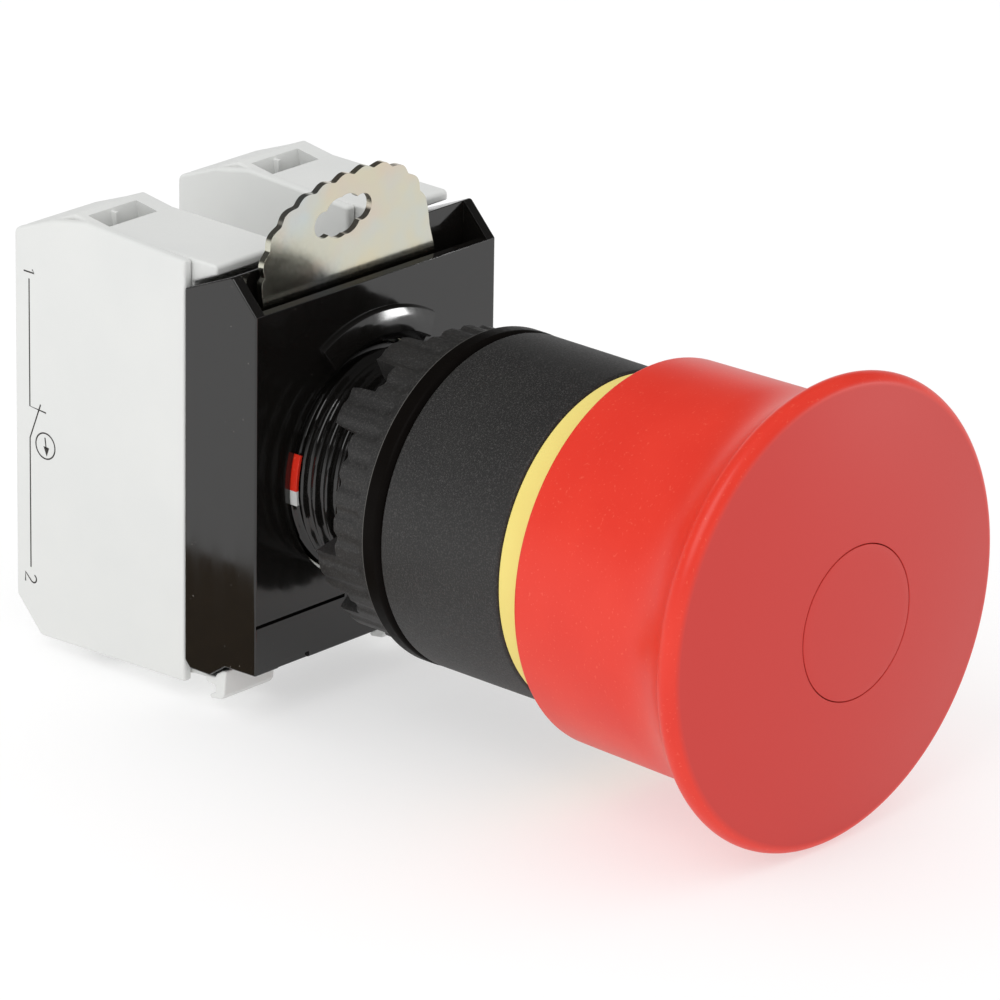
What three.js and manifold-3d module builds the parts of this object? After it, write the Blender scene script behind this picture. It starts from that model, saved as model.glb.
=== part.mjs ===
// A push-pull emergency stop button for a 22 mm panel hole: mushroom head, panel collar with ring nut,
// mounting base with its locking plate, and two contact blocks plugged side by side onto the base.
//
// Frame: millimetres, +Z up. The button's axis is the Y axis and the mushroom points to -Y.
// The pieces are drawn with y = 0 in the plane of the gasket's rear face, which is the panel's front face.
// The finished part is then moved along its axis, so that its origin is the middle of the pad that would
// push a third contact block between the two.
// The button is drawn released, and the contact blocks' terminals are drawn open.

import * as THREE from "three";
import { mergeVertices } from "three/addons/utils/BufferGeometryUtils.js";
import Module from "manifold-3d";

const wasm = await Module();
wasm.setup();

// ---------------------------------------------------------------- driving dimensions

const CAP_R = 20; // mushroom cap, outer radius of its rim
const CAP_SKIRT_R = 16.45; // cap's rear skirt
const CAP_REAR_Y = -18.6; // rear edge of the skirt, button released
const CAP_RIM_Y = -37.9; // middle of the rounded rim
const CAP_FRONT_Y = -41; // crown of the cap
const PLUG_R = 6.6; // recess of the centre plug

const BEZEL_R = 14.45;
const BEZEL_FRONT_Y = -15;
const GASKET_T = 2;
const COLLAR_R = 11; // fits the 22.3 mm panel hole
const THREAD_R = 10;
const THREAD_PITCH = 1.4;

const NUT_R = 13.6;
const NUT_Y = [0.2, 6.4]; // front face and the tips of the rear lugs, screwed right up to the gasket

const TRAVEL = 4; // stroke of the button and of everything it pushes
const PAD_Y = 16.5; // rear face of the transfer bar's middle pad

const BASE_HALF_W = 14.5; // half width of the mounting base, and of the pair of contact blocks
const BASE_Y = [12, 20.3]; // front and rear faces of the base
const BASE_WALL = 1;

const PLATE_Y = 13.6; // front face of the locking plate
const PLATE_T = 0.8;
const PLATE_TILT_DEG = 6.7; // how far the plate is turned towards -X at rest

const BLOCK_W = 9.5; // contact block, along X
const BLOCK_Y = [20.35, 40.5];
const BLOCK_X = { left: -BASE_HALF_W, right: 5.1 }; // each block's -X face
const COVER_T = 1; // the block's side cover
const WALL = 1; // the block's outer walls
const TERMINAL_Z = 13.2; // height of each terminal screw above and below the axis
const CONTACT_Z = 4.6; // height of each contact pair above and below the axis

const GAP = 0.05; // between pieces that lie against each other
const SLIP = 0.1; // around pieces that slide

// ---------------------------------------------------------------- solids

// A three.js geometry as a closed solid that can be joined and cut.
function solid(geometry) {
  const bare = geometry.clone();
  bare.deleteAttribute("normal");
  bare.deleteAttribute("uv");
  const merged = mergeVertices(bare, 1e-4);
  return new wasm.Manifold(
    new wasm.Mesh({
      numProp: 3,
      vertProperties: merged.attributes.position.array,
      triVerts: new Uint32Array(merged.index.array),
    }),
  );
}

function geometryOf(body) {
  const { vertProperties, triVerts } = body.getMesh();
  const geometry = new THREE.BufferGeometry();
  geometry.setAttribute("position", new THREE.BufferAttribute(vertProperties, 3));
  geometry.setIndex(new THREE.BufferAttribute(triVerts, 1));
  geometry.computeVertexNormals();
  return geometry;
}

// A closed outline in (radius, y) turned about the Y axis.
function turned(outline, segments = 36) {
  const points = outline.map(([r, y]) => new THREE.Vector2(r, y));
  if (THREE.ShapeUtils.area(points) < 0) points.reverse();
  points.push(points[0].clone());
  return solid(new THREE.LatheGeometry(points, segments));
}

const ring = (inner, outer, y0, y1, segments) =>
  turned([[inner, y0], [outer, y0], [outer, y1], [inner, y1]], segments);

const disc = (radius, y0, y1, segments) =>
  turned([[0, y0], [radius, y0], [radius, y1], [0, y1]], segments);

function box([x0, x1], [y0, y1], [z0, z1]) {
  const geometry = new THREE.BoxGeometry(x1 - x0, y1 - y0, z1 - z0);
  return solid(geometry.translate((x0 + x1) / 2, (y0 + y1) / 2, (z0 + z1) / 2));
}

// A rod along Y, centred on (x, z).
const rod = (radius, x, z, [y0, y1], segments = 20) =>
  disc(radius, y0, y1, segments).translate([x, 0, z]);

// An outline in (y, z) made solid between two planes of constant X.
function alongX(outline, [x0, x1]) {
  const shape = new THREE.Shape(outline.map(([y, z]) => new THREE.Vector2(y, z)));
  const geometry = new THREE.ExtrudeGeometry(shape, { depth: x1 - x0, bevelEnabled: false });
  const turn = new THREE.Matrix4().makeBasis(
    new THREE.Vector3(0, 1, 0),
    new THREE.Vector3(0, 0, 1),
    new THREE.Vector3(1, 0, 0),
  );
  return solid(geometry.applyMatrix4(turn).translate(x0, 0, 0));
}

// An outline in (x, z) made solid between two planes of constant Y.
function alongY(outline, [y0, y1]) {
  const shape = new THREE.Shape(outline.map(([x, z]) => new THREE.Vector2(x, z)));
  const geometry = new THREE.ExtrudeGeometry(shape, { depth: y1 - y0, bevelEnabled: false });
  return solid(geometry.rotateX(Math.PI / 2).translate(0, y1, 0));
}

// Points of an arc, as [u, v] pairs. Angles are in degrees.
function arc([u, v], radius, from, to, steps) {
  return Array.from({ length: steps + 1 }, (_, i) => {
    const angle = THREE.MathUtils.degToRad(from + ((to - from) * i) / steps);
    return [u + radius * Math.cos(angle), v + radius * Math.sin(angle)];
  });
}

// A coil spring along Y, centred on (x, z), with its ends closed flat.
function spring({ radius, wire, turns, y: [y0, y1], x = 0, z = 0, steps = 10 }) {
  const rise = y1 - y0 - 2 * wire;
  const path = new THREE.Curve();
  path.getPoint = (t) => {
    const angle = 2 * Math.PI * turns * t;
    const height = THREE.MathUtils.smoothstep(t, 0.5 / turns, 1 - 0.5 / turns);
    return new THREE.Vector3(
      x + radius * Math.cos(angle),
      y0 + wire + rise * (0.15 * t + 0.85 * height),
      z + radius * Math.sin(angle),
    );
  };
  return solid(wireAlong(path, wire, Math.round(steps * turns)));
}

function wireAlong(path, wire, steps, corners = 5) {
  const section = new THREE.Shape(
    arc([0, 0], wire, 0, 360 - 360 / corners, corners - 1).map(([u, v]) => new THREE.Vector2(u, v)),
  );
  return new THREE.ExtrudeGeometry(section, { steps, extrudePath: path, bevelEnabled: false });
}

// ---------------------------------------------------------------- finishes

const finish = (color, roughness, metalness = 0) => () =>
  new THREE.MeshStandardMaterial({ color, roughness, metalness });

const redPlastic = finish(0xe83a26, 0.35);
const yellowPlastic = finish(0xf0df76, 0.45);
const texturedBlack = finish(0x3a3a3c, 0.8);
const glossyBlack = finish(0x17171a, 0.25);
const rubber = finish(0x1b1b1c, 0.5);
const greyPlastic = finish(0xdedcd6, 0.5);
const whitePlastic = finish(0xf0efec, 0.4);
const zincPlate = finish(0xcfc6b4, 0.3, 1);
const brass = finish(0xc9a75c, 0.35, 1);
const springSteel = finish(0xb9bbbe, 0.3, 1);

const assembly = new THREE.Group();

function add(name, body, material, group = assembly) {
  const mesh = new THREE.Mesh(geometryOf(body), material());
  mesh.name = name;
  group.add(mesh);
  return mesh;
}

// ---------------------------------------------------------------- mushroom head

const STEM_R = 4;
const HUB_R = 6.5;
const HUB_REAR_Y = -27.5;
const HUB_FLOOR_Y = -34; // where the stem's front end stops in the hub
const SCREW_SEAT_Y = -36.4;
const PLUG_FLOOR_Y = -38.4;
const SKIRT_BORE_R = 15;
const CAP_SCREW_R = 2;
const CAP_SCREW_HEAD_R = 3.5;

// Axial position of the cap's domed front at a given radius.
function crownY(radius) {
  const rimEdgeR = CAP_R - 0.8;
  const rise = CAP_RIM_Y - 0.8 - CAP_FRONT_Y;
  const domeR = (rimEdgeR ** 2 + rise ** 2) / (2 * rise);
  return CAP_FRONT_Y + domeR - Math.sqrt(domeR ** 2 - radius ** 2);
}

function mushroomCap() {
  const flareFrom = -29;
  const steps = 5;
  const flare = Array.from({ length: steps }, (_, i) => {
    const t = (i + 1) / steps;
    const radius = CAP_SKIRT_R + 0.2 + (CAP_R - 0.5 - CAP_SKIRT_R) * t ** 2.1;
    return [radius, flareFrom + (CAP_RIM_Y + 0.7 - flareFrom) * t];
  });
  const rim = arc([CAP_R - 0.8, CAP_RIM_Y], 0.8, 0, -90, 3);
  const dome = [15, 11, PLUG_R].map((radius) => [radius, crownY(radius)]);
  return turned(
    [
      [SKIRT_BORE_R, CAP_REAR_Y],
      [CAP_SKIRT_R, CAP_REAR_Y],
      [CAP_SKIRT_R + 0.2, flareFrom],
      ...flare,
      ...rim,
      ...dome,
      [PLUG_R, PLUG_FLOOR_Y],
      [CAP_SCREW_HEAD_R + 0.4, PLUG_FLOOR_Y],
      [CAP_SCREW_HEAD_R + 0.4, SCREW_SEAT_Y],
      [CAP_SCREW_R + SLIP, SCREW_SEAT_Y],
      [CAP_SCREW_R + SLIP, HUB_FLOOR_Y],
      [STEM_R + GAP, HUB_FLOOR_Y],
      [STEM_R + GAP, HUB_REAR_Y],
      [HUB_R, HUB_REAR_Y],
      [HUB_R, -35.6],
      [SKIRT_BORE_R, -35.2],
    ],
    48,
  );
}

function centreCap() {
  const radius = PLUG_R - 0.12;
  const dome = [radius, 3.5, 0].map((r) => [r, crownY(r)]);
  return turned([[0, PLUG_FLOOR_Y - GAP], [radius, PLUG_FLOOR_Y - GAP], ...dome]);
}

// A pan head screw along Y with a cross recess in its head. Its head points to -Y.
function panScrew({ shankR, headR, headY: [front, seat], tipY, recess }) {
  const body = turned(
    [
      [0, front],
      [headR * 0.8, front],
      [headR, front + 0.5],
      [headR, seat],
      [shankR, seat],
      [shankR, tipY - 0.4],
      [shankR - 0.4, tipY],
      [0, tipY],
    ],
    16,
  );
  const slot = (long, wide) =>
    box([-long / 2, long / 2], [front - 1, front + recess], [-wide / 2, wide / 2]);
  return body.subtract(slot(headR * 1.2, 0.7)).subtract(slot(0.7, headR * 1.2));
}

const capScrew = panScrew({
  shankR: CAP_SCREW_R,
  headR: CAP_SCREW_HEAD_R,
  headY: [PLUG_FLOOR_Y + 0.2, SCREW_SEAT_Y - GAP],
  tipY: -29,
  recess: 0.9,
});

add("mushroom_cap", mushroomCap(), redPlastic);
add("centre_cap", centreCap(), redPlastic);
add("cap_screw", capScrew, springSteel);

// ---------------------------------------------------------------- stem and what guides it

const BORE_R = 7.5; // rear bore of the barrel
const NECK_R = 5.4; // neck that stops the stem when the button is pulled out
const NECK_Y = [-7.9, -5.5];
const CHAMBER_R = 9.5; // front chamber of the barrel
const BARREL_FRONT_Y = -13.5;
const BARREL_REAR_Y = 15.2;
const DETENT_Y = -8.6; // plane of the latch spring's wire
const LATCH_WIRE = 0.5;

function plungerStem() {
  const landY = DETENT_Y - TRAVEL / 2;
  const land = 5.2;
  return turned([
    [0, HUB_FLOOR_Y + SLIP],
    [STEM_R, HUB_FLOOR_Y + SLIP],
    [STEM_R, landY - 1.5],
    [land, landY - 0.3],
    [land, landY + 0.3],
    [STEM_R, landY + 1.5],
    [STEM_R, NECK_Y[1] + SLIP],
    [BORE_R - SLIP, NECK_Y[1] + SLIP],
    [BORE_R - SLIP, 0],
    [STEM_R + 1, 1],
    [STEM_R + 1, BARREL_REAR_Y + GAP],
    [0, BARREL_REAR_Y + GAP],
  ]).subtract(disc(CAP_SCREW_R + GAP, HUB_FLOOR_Y - 1, -28, 24));
}

// U-shaped wire spring whose legs snap over the stem's land. It is drawn spread.
function latchSpring() {
  const legX = 5.8;
  const path = new THREE.CurvePath();
  const bow = arc([0, 2.9], legX, 180, 0, 12).map(([x, z]) => new THREE.Vector3(x, DETENT_Y, z));
  path.add(new THREE.LineCurve3(new THREE.Vector3(-legX, DETENT_Y, -6.8), bow[0]));
  path.add(new THREE.CatmullRomCurve3(bow));
  path.add(new THREE.LineCurve3(bow.at(-1), new THREE.Vector3(legX, DETENT_Y, -6.8)));
  return solid(wireAlong(path, LATCH_WIRE, 24));
}

function barrelThread(from, to) {
  const turns = Math.floor((to - from) / THREAD_PITCH);
  const depth = 0.75;
  return Array.from({ length: turns }, (_, i) => [
    [THREAD_R - depth, from + i * THREAD_PITCH],
    [THREAD_R, from + (i + 0.5) * THREAD_PITCH],
  ]).flat();
}

const LOCK_GROOVE_R = 9;
const LOCK_GROOVE_Y = [13.3, PLATE_Y + PLATE_T + SLIP];
const LUG_COUNT = 3;
const LUG_DEG = 15;

// A wedge of a ring about the Y axis, between two angles measured from +X towards +Z.
function sector(inner, outer, [from, to], y) {
  const steps = Math.max(2, Math.round((to - from) / 6));
  return alongY([...arc([0, 0], outer, from, to, steps), ...arc([0, 0], inner, to, from, steps)], y);
}

const plateAngle = (i) => 90 + PLATE_TILT_DEG + (360 / LUG_COUNT) * i;

function barrel() {
  let body = turned([
    [CHAMBER_R, BARREL_FRONT_Y],
    [12.8, BARREL_FRONT_Y],
    [12.8, -GASKET_T - GAP],
    [COLLAR_R, -GASKET_T - GAP],
    [COLLAR_R, NUT_Y[0] - GAP],
    ...barrelThread(NUT_Y[0] - GAP, LOCK_GROOVE_Y[0] - 0.3),
    [LOCK_GROOVE_R, LOCK_GROOVE_Y[0]],
    [LOCK_GROOVE_R, BARREL_REAR_Y],
    [BORE_R, BARREL_REAR_Y],
    [BORE_R, NECK_Y[1]],
    [NECK_R, NECK_Y[1]],
    [NECK_R, NECK_Y[0]],
    [CHAMBER_R, NECK_Y[0]],
  ]);
  for (let i = 0; i < LUG_COUNT; i++) {
    const half = LUG_DEG / 2;
    const span = [plateAngle(i) - half, plateAngle(i) + half];
    body = body.add(sector(LOCK_GROOVE_R - 0.5, THREAD_R, span, [LOCK_GROOVE_Y[1], BARREL_REAR_Y]));
  }
  return body.add(panelKey(0));
}

// The key that stops the collar turning in the notch of the panel hole.
function panelKey(spare) {
  const half = 1.5 + spare;
  return box([-half, half], [-GASKET_T - GAP - spare, 0], [COLLAR_R - 0.5, COLLAR_R + 0.9 + spare]);
}

add("stem", plungerStem(), whitePlastic);
add("latch_spring", latchSpring(), springSteel);
add("barrel", barrel(), glossyBlack);

// ---------------------------------------------------------------- bezel, ring, seals and nut

const RETAINER_R = 8.5;

function bezel() {
  const lip = BEZEL_FRONT_Y + 1.4;
  return turned(
    [
      [RETAINER_R + GAP, BEZEL_FRONT_Y],
      [BEZEL_R - 0.3, BEZEL_FRONT_Y],
      [BEZEL_R, BEZEL_FRONT_Y + 0.3],
      [BEZEL_R, -GASKET_T - GAP],
      [12.8 + SLIP, -GASKET_T - GAP],
      [12.8 + SLIP, lip],
      [RETAINER_R + GAP, lip],
    ],
    48,
  );
}

function yellowRing() {
  const rear = BEZEL_FRONT_Y - GAP;
  return turned(
    [
      [10.5, rear],
      [14.3, rear],
      [14.3, rear - 6],
      [13, rear - 6],
      [13, rear - 1.2],
      [10.5, rear - 1.2],
    ],
    48,
  );
}

function innerSeal() {
  const front = BARREL_FRONT_Y + GAP;
  return turned([
    [STEM_R + 0.08, front + 0.9],
    [STEM_R + 1.2, front],
    [CHAMBER_R - GAP, front],
    [CHAMBER_R - GAP, front + 1.6],
    [STEM_R + 1.4, front + 1.6],
  ]);
}

const NUT_RING_REAR = 4.1; // rear face of the nut's ring, between its lugs
const NUT_RIM = 1.1; // plain rim in front of the grooves
const NUT_GROOVES = 36;
const NUT_GROOVE = { deep: 0.35, halfW: 0.6 };
const NUT_LUGS = { pairs: 4, firstDeg: 34, apartDeg: 28, deg: 16 };

// Ring nut: a ring with fine grooves round it, and four pairs of lugs on its rear for the spanner.
function ringNut() {
  const [front, rear] = NUT_Y;
  let body = turned([
    [THREAD_R + SLIP, front],
    [NUT_R - 0.3, front],
    [NUT_R, front + 0.3],
    [NUT_R, NUT_RING_REAR],
    [THREAD_R + SLIP, NUT_RING_REAR],
  ]);
  for (let i = 0; i < NUT_LUGS.pairs; i++) {
    for (const side of [-1, 1]) {
      const middle = NUT_LUGS.firstDeg + (360 / NUT_LUGS.pairs) * i + (side * NUT_LUGS.apartDeg) / 2;
      const span = [middle - NUT_LUGS.deg / 2, middle + NUT_LUGS.deg / 2];
      body = body.add(sector(THREAD_R + 0.8, NUT_R - 0.1, span, [NUT_RING_REAR - 0.2, rear]));
    }
  }
  const { deep, halfW } = NUT_GROOVE;
  for (let i = 0; i < NUT_GROOVES; i++) {
    const groove = box([NUT_R - deep, NUT_R + 1], [front + NUT_RIM, rear + 1], [-halfW, halfW]);
    body = body.subtract(groove.rotate([0, (360 / NUT_GROOVES) * (i + 0.5), 0]));
  }
  return body;
}

// The gasket's rear face carries a sealing lip, which is what lies on the panel.
function panelGasket() {
  const lipInner = NUT_R + 0.2;
  const outer = BEZEL_R + 0.05;
  return turned(
    [
      [COLLAR_R + 0.1, -GASKET_T],
      [outer, -GASKET_T],
      [outer, 0],
      [lipInner, 0],
      [lipInner, -0.3],
      [COLLAR_R + 0.1, -0.3],
    ],
    48,
  ).subtract(panelKey(0.2));
}

const sealRetainer = ring(STEM_R + 0.3, RETAINER_R, BEZEL_FRONT_Y, BARREL_FRONT_Y);
const triggerSpring = spring({ radius: 5.6, wire: 0.45, turns: 5, y: [-27.4, BEZEL_FRONT_Y - GAP] });

add("bezel", bezel(), texturedBlack);
add("yellow_ring", yellowRing(), yellowPlastic);
add("seal_retainer", sealRetainer, glossyBlack);
add("inner_seal", innerSeal(), rubber);
add("trigger_spring", triggerSpring, springSteel);
add("panel_gasket", panelGasket(), rubber);
add("ring_nut", ringNut(), texturedBlack);

// ---------------------------------------------------------------- mounting base

const BASE_TOP_Z = 16.2;
const BASE_BOTTOM_Z = -15.6;
const FRONT_WALL = 0.9;
const CROSS_WALL_Y = [14.8, 16];
const OPENING_R = 10.7;
const BAR_Y = [BARREL_REAR_Y + 2 * GAP, 16.3]; // transfer bar
const BAR_HALF = { x: 12, z: 3.6 };

// Side outline of the base in (y, z). The rear bottom edge is rounded.
const baseOutline = [
  [BASE_Y[0], BASE_TOP_Z],
  [BASE_Y[0], BASE_BOTTOM_Z],
  [BASE_Y[0] + 3.6, BASE_BOTTOM_Z - 0.1],
  [BASE_Y[0] + 5.4, BASE_BOTTOM_Z - 1.35],
  ...arc([BASE_Y[1] - 0.7, -16.3], 0.7, -90, 0, 3),
  [BASE_Y[1], 16.8],
  [BASE_Y[0] + 2.8, 19.1],
];

// Raised arch above the barrel. Its face slopes in from a crest at its outer edge.
function archBoss() {
  const [crest, lip, foot] = [BASE_Y[0] - 0.9, BASE_Y[0] - 0.25, BASE_Y[0] + 0.1];
  const [outer, inner] = [13.4, OPENING_R + 0.1];
  const cone = turned([[inner, lip], [outer - 0.3, crest], [outer, crest], [outer, foot], [inner, foot]], 60);
  return cone.intersect(sector(inner - 1, outer + 1, [60, 121], [crest - 1, foot + 1]));
}

function baseBody() {
  const inner = BASE_HALF_W - BASE_WALL;
  const [front, rear] = BASE_Y;
  const insideX = [-inner, inner];
  const slot = box(insideX, [front + FRONT_WALL, CROSS_WALL_Y[0]], [-13.8, 30]);
  const hollow = box(insideX, [CROSS_WALL_Y[1], rear + 1], [-15, 15]);
  const barWay = box(
    [-BAR_HALF.x - SLIP, BAR_HALF.x + SLIP],
    [CROSS_WALL_Y[0] - 1, CROSS_WALL_Y[1] + 1],
    [-BAR_HALF.z - SLIP, BAR_HALF.z + SLIP],
  );
  const aboveWall = box(insideX, [front - 1, CROSS_WALL_Y[0]], [BASE_TOP_Z, 30]);
  const blockLand = (z) => box([-4.6, 4.6], [rear - 0.1, rear + 0.2], z);
  return alongX(baseOutline, [-BASE_HALF_W, BASE_HALF_W])
    .subtract(slot)
    .subtract(aboveWall)
    .subtract(hollow)
    .subtract(barWay)
    .subtract(disc(OPENING_R, front - 1, CROSS_WALL_Y[1] + 1))
    .add(archBoss())
    .add(blockLand([15.1, 16.5]))
    .add(blockLand([-16, -15.1]));
}

const TIP = { halfW: 10.1, footZ: 17.5, rise: 8.2, power: 2.6 };
const TOOTH = { pitch: 2.4, deep: 0.5, fromZ: 20 };

// The rounded end of the plate's tab, as points in (x, z) from its +X foot to its -X foot. A toothed
// edge runs round it, above fromZ.
function toothedTip(steps) {
  const out = [];
  let length = 0;
  let last = null;
  for (let i = 0; i <= steps; i++) {
    const angle = (Math.PI * i) / steps;
    const bulge = (value) => Math.sign(value) * Math.abs(value) ** (2 / TIP.power);
    const x = TIP.halfW * bulge(Math.cos(angle));
    const z = TIP.rise * bulge(Math.sin(angle));
    length += last ? Math.hypot(x - last[0], z - last[1]) : 0;
    last = [x, z];
    const wave = 0.5 - 0.5 * Math.cos((length / TOOTH.pitch) * 2 * Math.PI);
    const cut = TIP.footZ + z > TOOTH.fromZ ? TOOTH.deep * wave : 0;
    const scale = 1 - cut / Math.hypot(x, z);
    out.push([x * scale, TIP.footZ + z * scale]);
  }
  return out;
}

// The clover hole: two lobes at its ends and four round its waist, as [x, z, radius] from its middle.
const CLOVER_Z = 22;
const CLOVER = [[0, 0, 1.6]];
for (const side of [-1, 1]) {
  CLOVER.push([side * 1.3, 0, 1.25], [side * 2.5, 0, 1.05]);
  CLOVER.push([side * 0.95, 1.15, 0.95], [side * 0.95, -1.15, 0.95]);
}

// Locking plate: a ring behind the base's front wall with a toothed tab above it. Three inner teeth
// sit in front of the barrel's lugs, and pass between them when the plate is turned.
function lockingPlate() {
  const y = [PLATE_Y, PLATE_Y + PLATE_T];
  const tab = alongY([[-10.6, 6], [10.6, 6], [10.5, 15], ...toothedTip(64), [-10.5, 15]], y);
  const bore = disc(THREAD_R + 0.2, y[0] - 1, y[1] + 1);
  let body = disc(12.9, ...y).add(tab).subtract(bore);
  CLOVER.forEach(([x, z, r]) => (body = body.subtract(rod(r, x, CLOVER_Z + z, [y[0] - 1, y[1] + 1], 16))));
  for (let i = 0; i < LUG_COUNT; i++) {
    const middle = plateAngle(i) - PLATE_TILT_DEG;
    const span = [middle - LUG_DEG / 2 + 0.5, middle + LUG_DEG / 2 - 0.5];
    body = body.add(sector(LOCK_GROOVE_R + SLIP, THREAD_R + 0.5, span, y));
  }
  return body;
}

function transferBar() {
  const [front, rear] = BAR_Y;
  const bar = box([-BAR_HALF.x, BAR_HALF.x], [front, rear], [-BAR_HALF.z, BAR_HALF.z]);
  const rib = ring(STEM_R + 1.2, STEM_R + 2.2, front - 2, front + 0.3, 24);
  const pad = box([-3.4, 3.4], [rear - 0.1, PAD_Y], [-3.4, 3.4]);
  return bar.add(rib).add(pad);
}

// A curved index flag in the gap round the barrel, on a foot held behind the front wall.
function indexFlag() {
  const behindWall = BASE_Y[0] + FRONT_WALL + GAP;
  const rear = behindWall + 0.3;
  const flag = sector(THREAD_R + 0.1, THREAD_R + 0.45, [158, 187], [BASE_Y[0] - 0.65, rear]);
  return flag.add(sector(THREAD_R + 0.3, THREAD_R + 2.3, [163, 171], [behindWall, rear]));
}

add("base_body", baseBody(), glossyBlack);
add("locking_plate", lockingPlate(), zincPlate).rotation.y = -THREE.MathUtils.degToRad(PLATE_TILT_DEG);
add("transfer_bar", transferBar(), whitePlastic);
add("index_flag", indexFlag(), redPlastic);

// ---------------------------------------------------------------- contact blocks
// Each block is drawn once in its own frame, with x counted from the outside of its side cover.

const MID_X = COVER_T + GAP + (BLOCK_W - WALL - COVER_T - GAP) / 2; // middle of the block's cavity
const CAVITY_X = [COVER_T - 1, BLOCK_W - WALL];
const STRIP_Y = [29.6, 30.4];
const STRIP_HALF_W = 2.75;
const RIVET_T = 0.65;
const BRIDGE_Y = [STRIP_Y[1] + 2 * RIVET_T + SLIP, STRIP_Y[1] + 2 * RIVET_T + SLIP + 0.6];
const BRIDGE_HALF_W = 1.9;
const PLUNGER_HALF = { x: 2.75, z: 2.5 };
const CLAMP_Y = [33.5, 34.5];
const SCREW_R = 1.75;
const WINDOW_Y = [31, 33.3];
const WINDOW_HALF_W = 2.85;
const CLIP_X = [0.4, 6.4]; // the hook's toe
const CLIP_TONGUE_X = COVER_T + GAP + SLIP; // the tongue starts behind the side cover
const CLIP_PIVOT = [23, -17.5];

const blockTopZ = 19.1;
const blockBottomZ = -18.4;

const housingOutline = [
  [BLOCK_Y[0], blockBottomZ],
  [37.6, -19],
  [BLOCK_Y[1], -15.9],
  [BLOCK_Y[1], 17.2],
  [36.3, 18.8],
  [34.4, 19.6],
  [WINDOW_Y[0], blockTopZ],
  ...arc([18.3, 18.4], 0.7, 90, 180, 3),
  [17.6, 18.25],
  [BLOCK_Y[0], 17.05],
];

const coverOutline = [
  [BLOCK_Y[0], blockBottomZ],
  [37.6, -19],
  [BLOCK_Y[1], -15.9],
  [BLOCK_Y[1], 17.2],
  [36, 18.9],
  [32.1, 19.65],
  [BLOCK_Y[0], blockTopZ],
];

const clipNotch = box([0, CLIP_X[1] + SLIP], [BLOCK_Y[0] - 1, 24.2], [-20, -16.4]);

function housing() {
  let body = alongX(housingOutline, [COVER_T + GAP, BLOCK_W])
    .subtract(box(CAVITY_X, [BLOCK_Y[0] + WALL, BLOCK_Y[1] - WALL], [-6.9, 6.9]))
    .subtract(
      box(
        [MID_X - PLUNGER_HALF.x - SLIP, MID_X + PLUNGER_HALF.x + SLIP],
        [BLOCK_Y[0] - 1, BLOCK_Y[0] + WALL + 1],
        [-PLUNGER_HALF.z - SLIP, PLUNGER_HALF.z + SLIP],
      ),
    );
  for (const side of [1, -1]) {
    const span = (z0, z1) => [Math.min(side * z0, side * z1), Math.max(side * z0, side * z1)];
    const stripX = [COVER_T - 1, MID_X + STRIP_HALF_W + SLIP];
    body = body
      .subtract(box(CAVITY_X, [STRIP_Y[0] - SLIP, 36.8], span(8.6, 17.6)))
      .subtract(box(stripX, [STRIP_Y[0] - SLIP, STRIP_Y[1] + SLIP], span(6, 9)))
      .subtract(box([MID_X - WINDOW_HALF_W, MID_X + WINDOW_HALF_W], WINDOW_Y, span(17, 21)))
      .subtract(rod(SCREW_R + 0.2, MID_X, side * TERMINAL_Z, [24.6, STRIP_Y[0]]))
      .subtract(rod(2.5, MID_X, side * TERMINAL_Z, [36, BLOCK_Y[1] + 1]));
  }
  return body.subtract(clipNotch);
}

const sideCover = () => alongX(coverOutline, [0, COVER_T]);

function plunger() {
  const { x, z } = PLUNGER_HALF;
  const front = BAR_Y[1] + GAP;
  const across = [MID_X - x, MID_X + x];
  const flangeY = [BLOCK_Y[0] + WALL + GAP, BLOCK_Y[0] + WALL + 1.3];
  const forkX = [MID_X - BRIDGE_HALF_W - GAP, MID_X + BRIDGE_HALF_W + GAP];
  const flange = box(across, flangeY, [-4.4, 4.4]);
  return box(across, [front, BRIDGE_Y[1] + 1.8], [-z, z])
    .add(flange)
    .subtract(box(forkX, [BRIDGE_Y[0] - GAP, 40], [-9, 9]));
}

// The bridge joins both fixed contacts until the plunger pushes it off them.
function contactBridge() {
  const half = CONTACT_Z + 1.6;
  let body = box([MID_X - BRIDGE_HALF_W, MID_X + BRIDGE_HALF_W], BRIDGE_Y, [-half, half]);
  for (const side of [1, -1])
    body = body.add(rod(1.2, MID_X, side * CONTACT_Z, [BRIDGE_Y[0] - RIVET_T, BRIDGE_Y[0] + 0.1], 16));
  return body;
}

function fixedContact(side) {
  const z = [3, 16.6].map((height) => side * height).sort((a, b) => a - b);
  return box([MID_X - STRIP_HALF_W, MID_X + STRIP_HALF_W], STRIP_Y, z)
    .add(rod(1.2, MID_X, side * CONTACT_Z, [STRIP_Y[1] - 0.1, STRIP_Y[1] + RIVET_T], 16))
    .subtract(rod(SCREW_R + 0.06, MID_X, side * TERMINAL_Z, [STRIP_Y[0] - 1, STRIP_Y[1] + 1]));
}

function clampPlate(side) {
  const z = side * TERMINAL_Z;
  return box([MID_X - 2.7, MID_X + 2.7], CLAMP_Y, [z - 3.1, z + 3.1]).subtract(
    rod(SCREW_R + 0.1, MID_X, z, [CLAMP_Y[0] - 1, CLAMP_Y[1] + 1]),
  );
}

// The terminal screw faces the rear, so a pan screw is turned end for end.
const terminalScrew = panScrew({
  shankR: SCREW_R,
  headR: 2.75,
  headY: [-36.6, -CLAMP_Y[1] - GAP],
  tipY: -28,
  recess: 1,
}).rotate([0, 0, 180]);

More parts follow.
